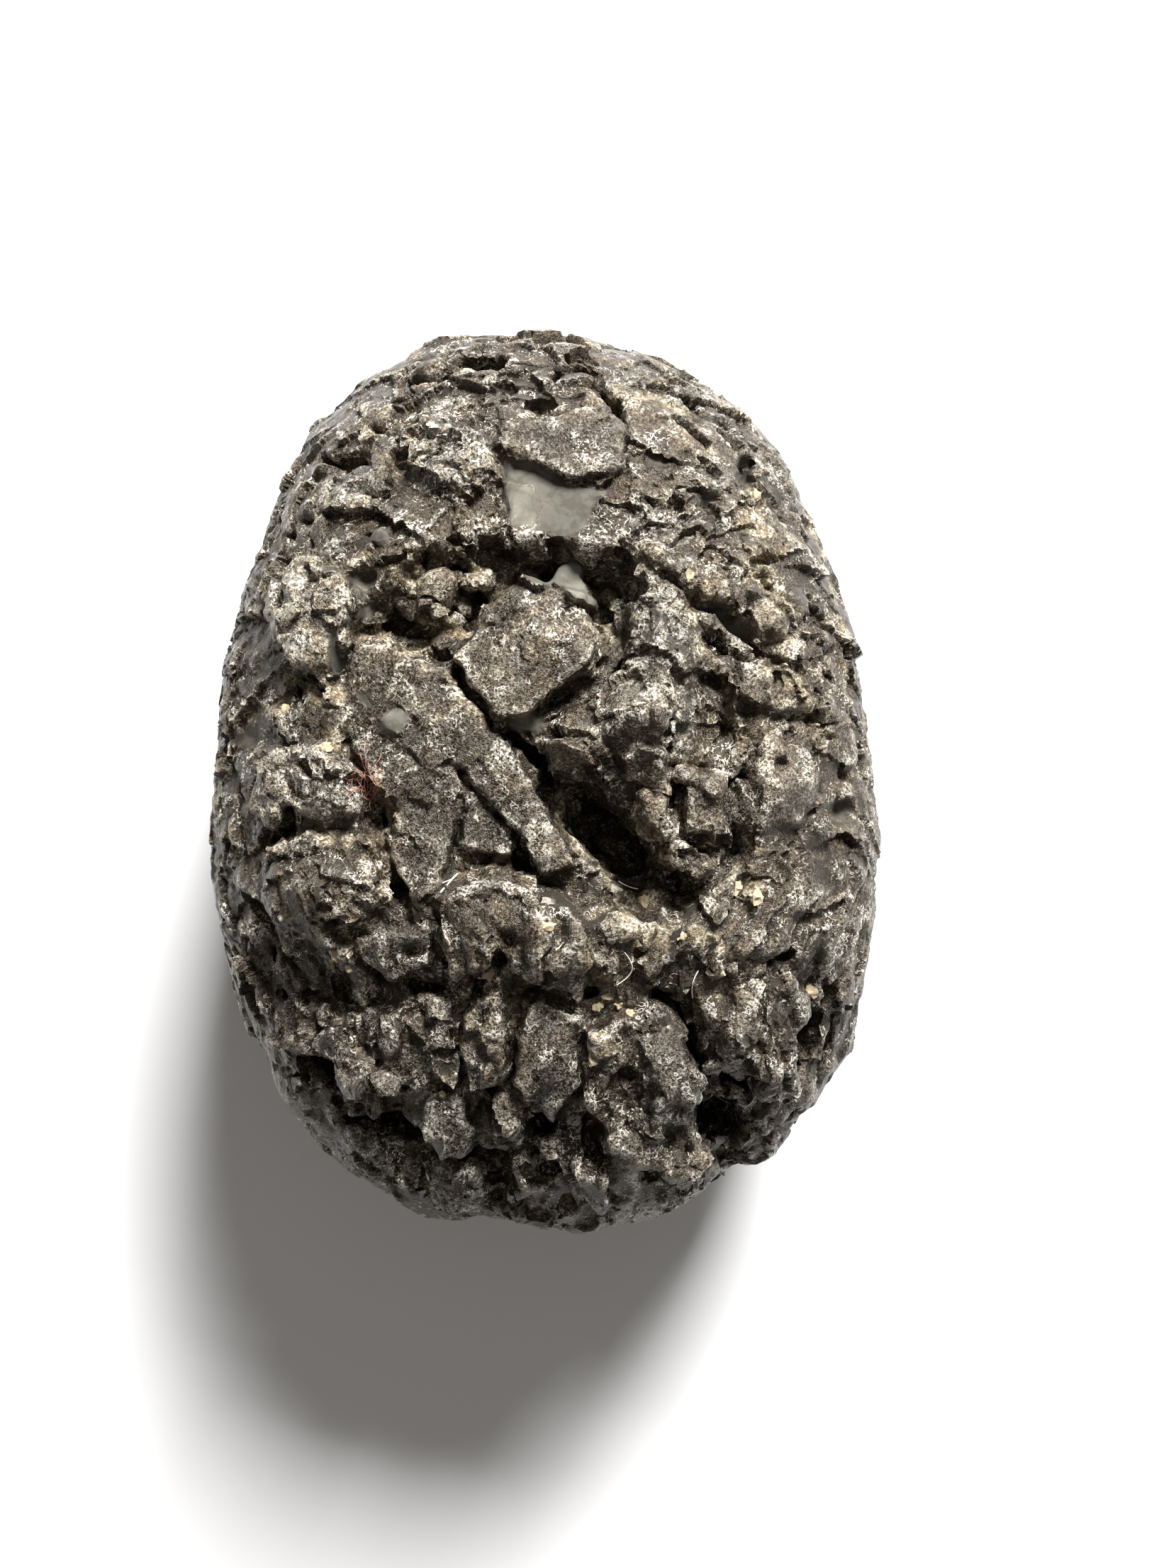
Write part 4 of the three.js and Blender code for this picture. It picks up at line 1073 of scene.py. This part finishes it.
    def write_attributes(self, stone: bpy.types.Object) -> None:
        """Scales to metres and stores what the finish reads.

        Args:
            stone: The object to change.
        """
        mesh = stone.data
        points = read_points(mesh)
        normal = read_normals(mesh)
        near = smoothed(mesh, points, self.edge_rounds)
        wide = smoothed(mesh, near, self.hill_rounds)
        share = self.crown_share(points)
        # edge and hill also drive the finish's painted highlights on raised places and painted shade in
        # hollows
        for name, middle, step in (("edge", near, self.edge_step), ("hill", wide, self.hill_step)):
            above = ((points - middle) * normal).sum(axis=1) / step
            store(mesh, name, np.clip(0.5 + 0.25 * above, 0, 1))
        for grain in (PLATE, FROST, GLASS, CLAY, MILKY):
            store(mesh, grain.name.lower(), self.grain_share(points, grain) * share)
        write_points(mesh, points * MM)
        shade_by_angle(stone, self.crease)


def smoothed(mesh: bpy.types.Mesh, points: np.ndarray, rounds: int) -> np.ndarray:
    """Averages each point with its neighbours, again and again.

    Args:
        mesh: Gives the edges.
        points: Places to smooth, one row per vertex.
        rounds: How many times.

    Returns:
        The smoothed places.
    """
    ends = np.empty(len(mesh.edges) * 2, np.int32)
    mesh.edges.foreach_get("vertices", ends)
    one, other = ends[::2], ends[1::2]
    count = len(points)
    degree = np.maximum(np.bincount(one, minlength=count) + np.bincount(other, minlength=count), 1)
    out = points.astype(np.float64)
    for _ in range(rounds):
        total = [np.bincount(one, out[other, axis], count) + np.bincount(other, out[one, axis], count)
                 for axis in range(3)]
        out = 0.4 * out + 0.6 * np.stack(total, axis=1) / degree[:, None]
    return out.astype(np.float32)


def store(mesh: bpy.types.Mesh, name: str, values: np.ndarray) -> None:
    """Keeps one number per vertex.

    Args:
        mesh: The mesh that keeps them.
        name: What the finish calls them.
        values: One number per vertex.
    """
    attribute = mesh.attributes.new(name, "FLOAT", "POINT")
    attribute.data.foreach_set("value", values.astype(np.float32))


def pick(*pieces: bpy.types.Object) -> None:
    """Selects these pieces alone.

    Args:
        pieces: The pieces; the first becomes the active one.
    """
    bpy.ops.object.select_all(action="DESELECT")
    for piece in pieces:
        piece.select_set(True)
    bpy.context.view_layer.objects.active = pieces[0]


def shade_by_angle(piece: bpy.types.Object, degrees: float) -> None:
    """Shades smooth except over sharp edges.

    Args:
        piece: The object to shade.
        degrees: Edges sharper than this stay sharp.
    """
    pick(piece)
    bpy.ops.object.shade_smooth_by_angle(angle=math.radians(degrees))


def read_points(mesh: bpy.types.Mesh) -> np.ndarray:
    """Reads where the vertices are.

    Args:
        mesh: The mesh to read.

    Returns:
        Their places, one row each.
    """
    flat = np.empty(len(mesh.vertices) * 3, np.float32)
    mesh.vertices.foreach_get("co", flat)
    return flat.reshape(-1, 3)


def write_points(mesh: bpy.types.Mesh, points: np.ndarray) -> None:
    """Moves every vertex to its row of points."""
    mesh.vertices.foreach_set("co", points.astype(np.float32).ravel())
    mesh.update()


def read_normals(mesh: bpy.types.Mesh) -> np.ndarray:
    """Reads which way the vertices face.

    Args:
        mesh: The mesh to read.

    Returns:
        Their normals, one row each.
    """
    flat = np.empty(len(mesh.vertices) * 3, np.float32)
    mesh.vertex_normals.foreach_get("vector", flat)
    return flat.reshape(-1, 3)


def apply_modifier(piece: bpy.types.Object, modifier: bpy.types.Modifier) -> None:
    """Applies one modifier of a piece."""
    pick(piece)
    bpy.ops.object.modifier_apply(modifier=modifier.name)


# ---------------------------------------------------------------- loose dirt


@dataclass(frozen=True)
class Thread:
    """One loose fibre, hair or needle: where it runs over the crown."""

    line: tuple[Point, ...]
    lifts: tuple[float, ...]  # height over the stone at each of its places
    thickness: float


@dataclass
class LooseDirt:
    """What lies on the stone: a tuft of red lint, hairs, glass needles and crumbs, in millimetres."""

    stone: bpy.types.Object
    lint_middle: Point = (-7.3, -0.1)
    lint_starts: Point = (0.168, 0.595)  # how far from the middle a strand may begin
    lint_count: int = 26
    lint_steps: int = 6
    lint_stride: float = 0.17  # from one place of a strand to the next
    lint_stretch: float = 1.6  # how much longer a stride is along Y
    lint_turn: float = 1.1  # most that a strand turns after a stride, in radians
    lint_lifts: Point = (0.04, 0.35)  # least and most height over the stone, between its ends
    lint_thickness: float = 0.032
    crumb_size: float = 0.2
    crumbs: tuple[Point, ...] = (
        (-8.9, 1.5), (-8.6, -7.2), (-8.0, -7.7), (-4.2, -13.2), (0.4, -5.7), (2.8, -8.9), (3.3, -9.2),
        (2.4, -9.3), (3.7, -9.6), (8.3, -4.4), (9.0, -4.7), (7.6, -7.9), (-5.0, 7.0), (6.9, 8.4),
        (6.2, 8.6), (9.4, 12.7), (-10.9, 3.2), (4.4, -4.9), (12.0, -9.2), (-2.0, -7.9), (5.9, -6.3),
        (2.2, -11.4),
    )
    needles: tuple[Thread, ...] = (
        Thread(((-3.45, -3.75), (-3.75, -4.05), (-4.05, -4.45)), (0.12, 0.16, 0.1), 0.085),
        Thread(((-3.62, -3.95), (-3.95, -4.05)), (0.1, 0.22), 0.05),
        Thread(((3.3, -4.1), (3.7, -4.35), (4.1, -4.4)), (0.5, 0.6, 0.5), 0.05),
    )
    hairs: tuple[Thread, ...] = (
        Thread(((7.6, -14.0), (7.9, -14.5), (8.5, -14.7), (9.1, -14.4), (9.4, -13.9)),
               (0.2, 0.5, 0.7, 0.5, 0.15), 0.05),
        Thread(((3.5, -6.9), (3.9, -7.4), (3.7, -8.0), (3.2, -8.3)), (0.15, 0.35, 0.3, 0.1), 0.045),
        Thread(((6.4, -9.0), (6.2, -8.3), (6.6, -7.8)), (0.1, 0.4, 0.15), 0.04),
    )

    def build(self) -> tuple[bpy.types.Object, bpy.types.Object, bpy.types.Object]:
        """Makes the dirt.

        Returns:
            The red lint, the pale needles and hairs, and the crumbs.
        """
        bpy.context.view_layer.update()
        lint = self.join([self.thread(strand) for strand in self.lint()], "lint_tuft")
        pale = self.join([self.thread(strand) for strand in self.needles + self.hairs], "needles_and_hairs")
        crumbs = self.join([self.crumb(k, at) for k, at in enumerate(self.crumbs)], "clay_crumbs")
        return lint, pale, crumbs

    def ground(self, x: float, y: float) -> float:
        """Height of the stone's face at a place, in millimetres.

        Args:
            x: Across the stone, in millimetres.
            y: Along it, in millimetres.

        Returns:
            The height.
        """
        start = Vector((x, y, 60)) * MM  # well above the stone
        return self.stone.ray_cast(start, Vector((0, 0, -1)))[1].z / MM

    def lint(self) -> tuple[Thread, ...]:
        """Curly strands that cross each other in the tuft.

        Returns:
            The strands.
        """
        rng = np.random.default_rng(12)
        strands = []
        last = self.lint_steps - 1
        for _ in range(self.lint_count):
            at = np.array(self.lint_middle) + rng.uniform(-1, 1, 2) * self.lint_starts
            heading = rng.uniform(0, 2 * math.pi)
            line, lifts = [], []
            for k in range(self.lint_steps):
                line.append((float(at[0]), float(at[1])))
                lifts.append(float(rng.uniform(*self.lint_lifts)) if 0 < k < last else 0.02)
                heading += rng.uniform(-self.lint_turn, self.lint_turn)
                stride = np.array((math.cos(heading), self.lint_stretch * math.sin(heading)))
                at = at + self.lint_stride * stride
            strands.append(Thread(tuple(line), tuple(lifts), self.lint_thickness))
        return tuple(strands)

    def thread(self, strand: Thread) -> bpy.types.Object:
        """Makes one round strand that follows the stone.

        Args:
            strand: Where it runs, how high over the stone, and how thick it is.

        Returns:
            The strand, as a mesh.
        """
        bpy.ops.object.select_all(action="DESELECT")
        bpy.ops.curve.primitive_bezier_curve_add()
        piece = bpy.context.object
        curve = piece.data
        curve.splines.clear()
        spline = curve.splines.new("NURBS")
        spline.points.add(len(strand.line) - 1)
        for point, (x, y), lift in zip(spline.points, strand.line, strand.lifts):
            point.co = (x * MM, y * MM, (self.ground(x, y) + lift) * MM, 1)
        spline.order_u = 3
        spline.use_endpoint_u = True
        spline.resolution_u = 5
        curve.dimensions = "3D"
        curve.bevel_depth = strand.thickness / 2 * MM
        curve.bevel_resolution = 1
        curve.use_fill_caps = True
        bpy.ops.object.convert(target="MESH")
        return bpy.context.object

    def crumb(self, number: int, at: Point) -> bpy.types.Object:
        """Makes one angular crumb, half sunk in the stone.

        Args:
            number: Its number, which picks its shape.
            at: Where it lies.

        Returns:
            The crumb.
        """
        rng = np.random.default_rng(100 + number)
        bpy.ops.object.select_all(action="DESELECT")
        bpy.ops.mesh.primitive_ico_sphere_add(subdivisions=2, radius=1.0)
        piece = bpy.context.object
        points = read_points(piece.data)
        size = self.crumb_size * rng.uniform(0.6, 1.5)
        points *= size * (1 + 0.9 * gradient_noise(points + number * 7.0, 0.7, 5))[:, None]
        points *= np.array((*rng.uniform(0.6, 1.4, 2), 0.45))
        points += np.array((at[0], at[1], self.ground(*at) + 0.1 * size))
        write_points(piece.data, points * MM)
        return piece

    def join(self, parts: list[bpy.types.Object], name: str) -> bpy.types.Object:
        """Joins pieces in one object.

        Args:
            parts: The pieces.
            name: The joined object's name.

        Returns:
            The joined object.
        """
        pick(*parts)
        bpy.ops.object.join()
        bpy.ops.object.transform_apply(location=True, rotation=True, scale=True)
        joined = bpy.context.object
        joined.name = name
        joined.data.name = name
        return joined


# ---------------------------------------------------------------- finishes


class NodeBench:
    """A short way to write shader nodes."""

    def __init__(self, tree: bpy.types.NodeTree) -> None:
        """Works on one node tree."""
        self.tree = tree

    def node(self, kind: str, settings: dict | None = None, **inputs: object) -> bpy.types.Node:
        """Adds a node.

        Args:
            kind: The node's type, without the ShaderNode in front.
            settings: Its own settings by name.
            inputs: Values or sockets by input name, with spaces as underscores; in0, in1 by number.

        Returns:
            The node.
        """
        made = self.tree.nodes.new("ShaderNode" + kind)
        for name, value in (settings or {}).items():
            setattr(made, name, value)
        for name, value in inputs.items():
            numbered = name[:2] == "in" and name[2:].isdigit()
            socket = made.inputs[int(name[2:])] if numbered else made.inputs[name.replace("_", " ")]
            if isinstance(value, bpy.types.NodeSocket):
                self.tree.links.new(value, socket)
            else:
                socket.default_value = value
        return made

    def math(self, operation: str, a: Value, b: Value = 0.0, clamp: bool = False) -> bpy.types.NodeSocket:
        """Works out one sum of two numbers.

        Args:
            operation: The sum's name, such as SUBTRACT.
            a: The first number.
            b: The second number.
            clamp: True keeps the result between 0 and 1.

        Returns:
            The result.
        """
        made = self.node("Math", {"operation": operation, "use_clamp": clamp}, in0=a, in1=b)
        return made.outputs[0]

    def times(self, *values: Value) -> Value:
        """Product of numbers."""
        return functools.reduce(lambda a, b: self.math("MULTIPLY", a, b), values)

    def plus(self, *values: Value) -> Value:
        """Sum of numbers."""
        return functools.reduce(lambda a, b: self.math("ADD", a, b), values)

    def most(self, *values: Value) -> Value:
        """Largest of some numbers."""
        return functools.reduce(lambda a, b: self.math("MAXIMUM", a, b), values)

    def kept(self, value: Value) -> bpy.types.NodeSocket:
        """A number kept between 0 and 1."""
        return self.math("ADD", value, 0.0, clamp=True)

    def ramp(self, value: Value, low: float, high: float, out_low: float = 0.0,
             out_high: float = 1.0) -> bpy.types.NodeSocket:
        """Eases from one number to another.

        Args:
            value: The number that drives it.
            low: Where it starts.
            high: Where it ends.
            out_low: The result at the start.
            out_high: The result at the end.

        Returns:
            The result.
        """
        settings = {"interpolation_type": "SMOOTHSTEP"}
        made = self.node("MapRange", settings, in0=value, in1=low, in2=high, in3=out_low, in4=out_high)
        return made.outputs[0]

    def mix(self, share: Value, a: object, b: object) -> bpy.types.NodeSocket:
        """Blends two colours.

        Args:
            share: How much of the second, from 0 to 1.
            a: The first colour.
            b: The second colour.

        Returns:
            The blend.
        """
        made = self.node("Mix", {"data_type": "RGBA"}, in0=share, in6=a, in7=b)
        return made.outputs[2]

    def attribute(self, name: str) -> bpy.types.NodeSocket:
        """Reads one number per vertex."""
        return self.node("Attribute", {"attribute_name": name}).outputs["Fac"]


def rgba(colour: Colour) -> tuple[float, float, float, float]:
    """Adds a full alpha to a colour."""
    return (*colour, 1.0)


def millimetres(bench: NodeBench) -> bpy.types.NodeSocket:
    """The piece's own coordinates in millimetres."""
    place = bench.node("TexCoord").outputs["Object"]
    return bench.node("VectorMath", {"operation": "SCALE"}, in0=place, Scale=1000.0).outputs[0]


class StoneBench(NodeBench):
    """The patterns that the stone's finish is made of, and what is painted on its mesh."""

    def __init__(self, tree: bpy.types.NodeTree) -> None:
        """Makes what several layers of the finish read.

        Args:
            tree: The material's nodes.
        """
        super().__init__(tree)
        self.place = millimetres(self)
        self.edge, self.hill, self.facet = (self.attribute(name) for name in ("edge", "hill", "facet"))
        self.plate, self.frost, self.clay = (self.attribute(name) for name in ("plate", "frost", "clay"))
        self.glass, self.milky = self.attribute("glass"), self.attribute("milky")
        self.satin = self.most(self.glass, self.milky)
        self.broad = self.noise(5.0, 3.0)
        self.patchy = self.noise(1.1, 4.0, 0.6, 0.5)
        self.mottle = self.noise(0.14, 3.0, 0.7, 0.3)
        self.grit = self.noise(0.06, 2.0, 0.6)

    def noise(self, size: float, detail: float = 2.0, rough: float = 0.5, twist: float = 0.0,
              at: Value | None = None) -> bpy.types.NodeSocket:
        """Smooth noise.

        Args:
            size: Its wave size in millimetres.
            detail: How many finer noises it holds.
            rough: How strong each finer noise is, beside the one before.
            twist: How far its lines are bent.
            at: Where it is read, if not at the point itself.

        Returns:
            The noise, from 0 to 1.
        """
        place = self.place if at is None else at
        made = self.node("TexNoise", None, Vector=place, Scale=1 / size, Detail=detail, Roughness=rough,
                         Distortion=twist)
        return made.outputs["Fac"]

    def felt(self, length: float, width: float) -> Value:
        """Short curly lines that lie in all directions: white splinters, and painted glints along them.

        Args:
            length: Their length in millimetres.
            width: Their width in millimetres.

        Returns:
            1 on a splinter, 0 beside it.
        """
        strokes = []
        for shift in (0.0, 37.3, 71.9):
            apart = (shift, shift * 0.7, -shift)
            moved = self.node("VectorMath", {"operation": "ADD"}, in0=self.place, in1=apart).outputs[0]
            level = self.math("ABSOLUTE", self.math("SUBTRACT", self.noise(length, 1.0, at=moved), 0.5))
            line = self.ramp(level, 0.0, width / length * 0.25, 1.0, 0.0)
            strokes.append(self.times(line, self.ramp(self.noise(length * 0.8, 0.0, at=moved), 0.54, 0.62)))
        return self.most(*strokes)

    def flecks(self, size: float, share: float) -> Value:
        """Small sharp spots: white chips, and painted glints.

        Args:
            size: Size in millimetres of the cells that may hold one.
            share: Share of the cells that do.

        Returns:
            1 on a chip, 0 beside it.
        """
        cells = self.node("TexVoronoi", {"feature": "F1"}, Vector=self.place, Scale=1 / size)
        draw = self.node("SeparateColor", None, in0=cells.outputs["Color"]).outputs[0]
        chosen = self.math("GREATER_THAN", draw, 1 - share)
        return self.times(chosen, self.ramp(cells.outputs["Distance"], 0.30, 0.42, 1.0, 0.0))


@dataclass(frozen=True)
class WeatheredObsidian:
    """Black glass under splinters, dust and clay, with painted highlights, glints, sheen and shade."""

    tones: tuple[tuple[float, Colour], ...] = (
        (0.00, (0.008, 0.003, 0.001)),
        (0.30, (0.020, 0.011, 0.005)),
        (0.50, (0.066, 0.044, 0.024)),
        (0.66, (0.154, 0.115, 0.067)),
        (0.82, (0.338, 0.276, 0.183)),
        (1.00, (0.745, 0.685, 0.535)),
    )
    # white of the crushed-glass splinters, also the colour of the painted glints and highlights
    splinter: Colour = (0.86, 0.83, 0.725)
    dark_glass: Colour = (0.040, 0.036, 0.028)
    # painted sheen: grey that stands in for the light the smooth glass reflects
    sheen_grey_glass: Colour = (0.105, 0.105, 0.090)
    # partly the pale flake's own colour, partly painted sheen on the satin facet's left half
    milk_and_sheen: Colour = (0.200, 0.197, 0.165)
    damp_clay: Colour = (0.110, 0.070, 0.032)
    dry_clay: Colour = (0.450, 0.380, 0.240)
    # painted shade: the colour darkens towards the lower end, where less light falls
    lower_end_shade: Point = (LOWER_END, -19.0)  # the stone darkens from the first Y to the second
    grain_depth: float = 0.00010  # in metres
    refraction: float = 1.5
    gleam: Colour = (1.0, 0.88, 0.72)  # tint of its reflections

    def make(self) -> bpy.types.Material:
        """Builds the material.

        Returns:
            The material.
        """
        material = bpy.data.materials.new("weathered obsidian")
        material.use_nodes = True
        bench = StoneBench(material.node_tree)
        bare = bench.times(bench.ramp(bench.facet, 0.62, 0.72), bench.ramp(bench.patchy, 0.56, 0.44),
                           bench.math("SUBTRACT", 1.0, bench.plate))
        glass = bench.most(bench.satin, bench.times(bare, 0.8))
        clean = bench.math("SUBTRACT", 1.0, glass, clamp=True)
        tone = self.tone(bench)
        soil = self.soil(bench, clean)

        body = bench.mix(bench.times(glass, 0.85), self.broken_glass(bench, tone), self.glaze(bench))
        crust = bench.mix(bench.ramp(bench.mottle, 0.36, 0.64), rgba(self.damp_clay), rgba(self.dry_clay))
        body = bench.mix(bench.times(soil, 0.85), body, crust)
        # white splinters and chips, partly painted glints and highlights on edges and hill tops
        body = bench.mix(self.splinters(bench, clean), body, rgba(self.splinter))

        rough = bench.plus(0.26, bench.times(bench.ramp(tone, 0.3, 0.8), 0.35), bench.times(glass, 0.08),
                           bench.times(bench.satin, 0.4), bench.times(soil, 0.3))
        height = bench.times(bench.plus(bench.mottle, bench.times(bench.grit, 0.6)), clean)
        relief = bench.node("Bump", None, Strength=0.8, Distance=self.grain_depth, Height=height).outputs[0]

        shader = material.node_tree.nodes["Principled BSDF"]
        shader.inputs["IOR"].default_value = self.refraction
        shader.inputs["Specular Tint"].default_value = rgba(self.gleam)
        for socket, value in (("Base Color", body), ("Roughness", bench.kept(rough)), ("Normal", relief)):
            material.node_tree.links.new(value, shader.inputs[socket])
        return material

    def tone(self, bench: StoneBench) -> Value:
        """How light the broken glass is: its own mottled tone, with painted highlights on raised edges and
        hill tops, and painted shade in hollows and towards the lower end.

        Args:
            bench: The stone's patterns.

        Returns:
            The tone, from 0 to 1.
        """
        y = bench.node("SeparateXYZ", None, in0=bench.place).outputs[1]
        # edge and hill: painted highlights on raised edges and hill tops, painted shade in the hollows
        # between them
        weights = ((bench.mottle, 2.1), (bench.patchy, 0.55), (bench.edge, 0.35), (bench.hill, 0.2),
                   (bench.facet, -0.7))
        parts = [bench.times(bench.math("SUBTRACT", pattern, 0.5), weight) for pattern, weight in weights]
        parts.append(bench.times(bench.frost, 0.10))
        # painted shade: darker towards the stone's lower end
        parts.append(bench.times(bench.ramp(y, *self.lower_end_shade), -0.25))
        return bench.kept(bench.plus(*parts, 0.19))

    def broken_glass(self, bench: StoneBench, tone: Value) -> bpy.types.NodeSocket:
        """Colour of the broken glass, with the painted highlights and shade that its lightness holds.

        Args:
            bench: The stone's patterns.
            tone: How light it is, from 0 to 1.

        Returns:
            The colour.
        """
        ramp = bench.node("ValToRGB", None, in0=tone)
        stops = ramp.color_ramp.elements
        for stop, (position, colour) in zip(stops, (self.tones[0], self.tones[-1])):
            stop.position, stop.color = position, rgba(colour)
        for position, colour in self.tones[1:-1]:
            stops.new(position).color = rgba(colour)
        return ramp.outputs["Color"]

    def glaze(self, bench: StoneBench) -> bpy.types.NodeSocket:
        """Colour of the smooth facets: painted sheen in pale streaks on the grey ones, and in clouds on the
        milky ones, over the glass's own dark.

        Args:
            bench: The stone's patterns.

        Returns:
            The colour.
        """
        # painted sheen: pale streaks across the smooth glass
        sheen_streaks = bench.ramp(bench.noise(0.9, 2.0, 0.5, 1.5), 0.38, 0.62, 0.35, 1.0)
        grey = bench.mix(bench.times(bench.glass, sheen_streaks), rgba(self.dark_glass), rgba(self.sheen_grey_glass))
        clouds = bench.times(bench.milky, bench.ramp(bench.patchy, 0.38, 0.62, 0.45, 1.0))
        return bench.mix(clouds, grey, rgba(self.milk_and_sheen))

    def soil(self, bench: StoneBench, clean: Value) -> Value:
        """Where clay and dust lie.

        Args:
            bench: The stone's patterns.
            clean: 0 on smooth glass, which holds no soil, and 1 elsewhere.

        Returns:
            The share of soil, from 0 to 1.
        """
        sunk = bench.times(bench.ramp(bench.hill, 0.55, 0.25), bench.ramp(bench.broad, 0.5, 0.62, 0.1, 1.0))
        lying = bench.most(sunk, bench.times(bench.clay, 0.8))
        return bench.kept(bench.times(lying, bench.ramp(bench.patchy, 0.42, 0.56), clean))

    def splinters(self, bench: StoneBench, clean: Value) -> Value:
        """Where white lies: splinters, chips and bruises of crushed glass, and painted glints and
        highlights on edges, hill tops and frosted patches.

        Args:
            bench: The stone's patterns.
            clean: 0 on smooth glass, which holds none, and 1 elsewhere.

        Returns:
            The share of white, from 0 to 1.
        """
        mottle, patchy, frost = bench.mottle, bench.patchy, bench.frost
        # more white on hill tops: partly painted highlight
        crowded = bench.plus(bench.ramp(bench.hill, 0.4, 0.85, 0.05, 0.22), bench.times(frost, 0.25))
        crowded = bench.most(crowded, bench.times(bench.plate, 0.20))
        web = bench.times(bench.most(bench.felt(0.32, 0.04), bench.felt(0.2, 0.035)), crowded)
        wisps = bench.times(bench.felt(0.45, 0.05), bench.ramp(patchy, 0.46, 0.60, 0.1, 0.9))
        chips = bench.times(bench.most(bench.flecks(0.17, 0.16), bench.flecks(0.10, 0.2)),
                            bench.ramp(patchy, 0.50, 0.66, 0.03, 0.8))
        rime = bench.times(bench.ramp(bench.plus(patchy, bench.times(frost, 0.06)), 0.63, 0.73),
                           bench.ramp(mottle, 0.46, 0.66), bench.ramp(bench.hill, 0.5, 0.8, 0.0, 0.7))
        # painted highlight along raised edges, partly bruised glass
        edge_bruises_and_glints = bench.times(bench.ramp(bench.edge, 0.66, 0.92), bench.ramp(mottle, 0.46, 0.60),
                            bench.ramp(patchy, 0.44, 0.62, 0.05, 0.6))
        # painted glare on the frosted patches
        glare = bench.times(bench.ramp(bench.noise(0.7, 3.0, 0.6), 0.50, 0.60), frost,
                            bench.ramp(mottle, 0.42, 0.62, 0.0, 0.8))
        return bench.kept(bench.times(bench.most(web, wisps, chips, rime, edge_bruises_and_glints, glare), clean))


@dataclass(frozen=True)
class PlainFinish:
    """One even colour, for things as thin as a hair."""

    name: str
    colour: Colour
    roughness: float

    def make(self) -> bpy.types.Material:
        """Builds the material.

        Returns:
            The material.
        """
        material = bpy.data.materials.new(self.name)
        material.use_nodes = True
        shader = material.node_tree.nodes["Principled BSDF"]
        shader.inputs["Base Color"].default_value = rgba(self.colour)
        shader.inputs["Roughness"].default_value = self.roughness
        return material


RED_LINT = PlainFinish("red lint", (0.43, 0.20, 0.15), 0.8)
PALE_SPLINTER = PlainFinish("pale splinter", (0.85, 0.82, 0.74), 0.3)
DRY_CLAY = PlainFinish("dry clay", (0.52, 0.42, 0.27), 0.8)


# ---------------------------------------------------------------- the studio


@dataclass(frozen=True)
class Studio:
    """Camera, light and table, in metres where nothing else is said."""

    eye: tuple[float, float, float] = (2.0, 0.0, 84.7)  # in millimetres, over the broken face
    lens: float = 34.2  # in millimetres, as the sensor's width
    sensor: float = 36.0
    room: Colour = (1.0, 0.955, 0.90)
    room_strength: float = 0.20
    key_place: tuple[float, float, float] = (0.14, 0.40, 0.32)
    key_size: float = 0.16
    key_power: float = 8.2  # in watts
    target: tuple[float, float, float] = (0.0, 0.0, 0.012)  # the middle of the stone
    table_size: float = 2.0
    table_colour: Colour = (0.9, 0.9, 0.9)

    def place_camera(self) -> None:
        """Looks straight down on the broken face."""
        data = bpy.data.cameras.new("camera")
        data.lens = self.lens
        data.sensor_width = self.sensor
        data.clip_start = 0.001
        camera = bpy.data.objects.new("camera", data)
        camera.location = Vector(self.eye) * MM
        bpy.context.collection.objects.link(camera)
        bpy.context.scene.camera = camera

    def light(self) -> None:
        """Soft light from above the stone's upper end, in a dim pale room."""
        world = bpy.data.worlds.new("room")
        world.use_nodes = True
        background = world.node_tree.nodes["Background"]
        background.inputs["Color"].default_value = rgba(self.room)
        background.inputs["Strength"].default_value = self.room_strength
        bpy.context.scene.world = world
        data = bpy.data.lights.new("key", "AREA")
        data.size = self.key_size
        data.energy = self.key_power
        lamp = bpy.data.objects.new("key", data)
        lamp.location = self.key_place
        towards = Vector(self.target) - Vector(self.key_place)
        lamp.rotation_euler = towards.to_track_quat("-Z", "Y").to_euler()
        bpy.context.collection.objects.link(lamp)

    def lay_floor(self) -> None:
        """Lays the pale table."""
        bpy.ops.object.select_all(action="DESELECT")
        bpy.ops.mesh.primitive_plane_add(size=self.table_size)
        table = bpy.context.object
        table.name = "table"
        material = bpy.data.materials.new("pale table")
        material.use_nodes = True
        shader = material.node_tree.nodes["Principled BSDF"]
        shader.inputs["Base Color"].default_value = rgba(self.table_colour)
        shader.inputs["Roughness"].default_value = 0.8
        table.data.materials.append(material)


def dress(piece: bpy.types.Object, material: bpy.types.Material) -> None:
    """Gives a piece its finish and its place in the part.

    Args:
        piece: The piece.
        material: Its finish.
    """
    piece.data.materials.clear()
    piece.data.materials.append(material)
    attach(piece, "root")
    log.info("%s: %d triangles", piece.name, sum(len(p.vertices) - 2 for p in piece.data.polygons))


def main() -> None:
    """Builds the scene in order."""
    logging.basicConfig(level=logging.INFO, format="%(message)s")
    studio = Studio()
    studio.place_camera()
    stone = Nodule().build()
    dress(stone, WeatheredObsidian().make())
    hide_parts("obsidian_nodule")
    lint, pale, crumbs = LooseDirt(stone).build()
    dress(lint, RED_LINT.make())
    dress(pale, PALE_SPLINTER.make())
    dress(crumbs, DRY_CLAY.make())
    studio.light()
    studio.lay_floor()
    bpy.context.scene.view_settings.view_transform = "Standard"


if __name__ == "__main__":
    main()
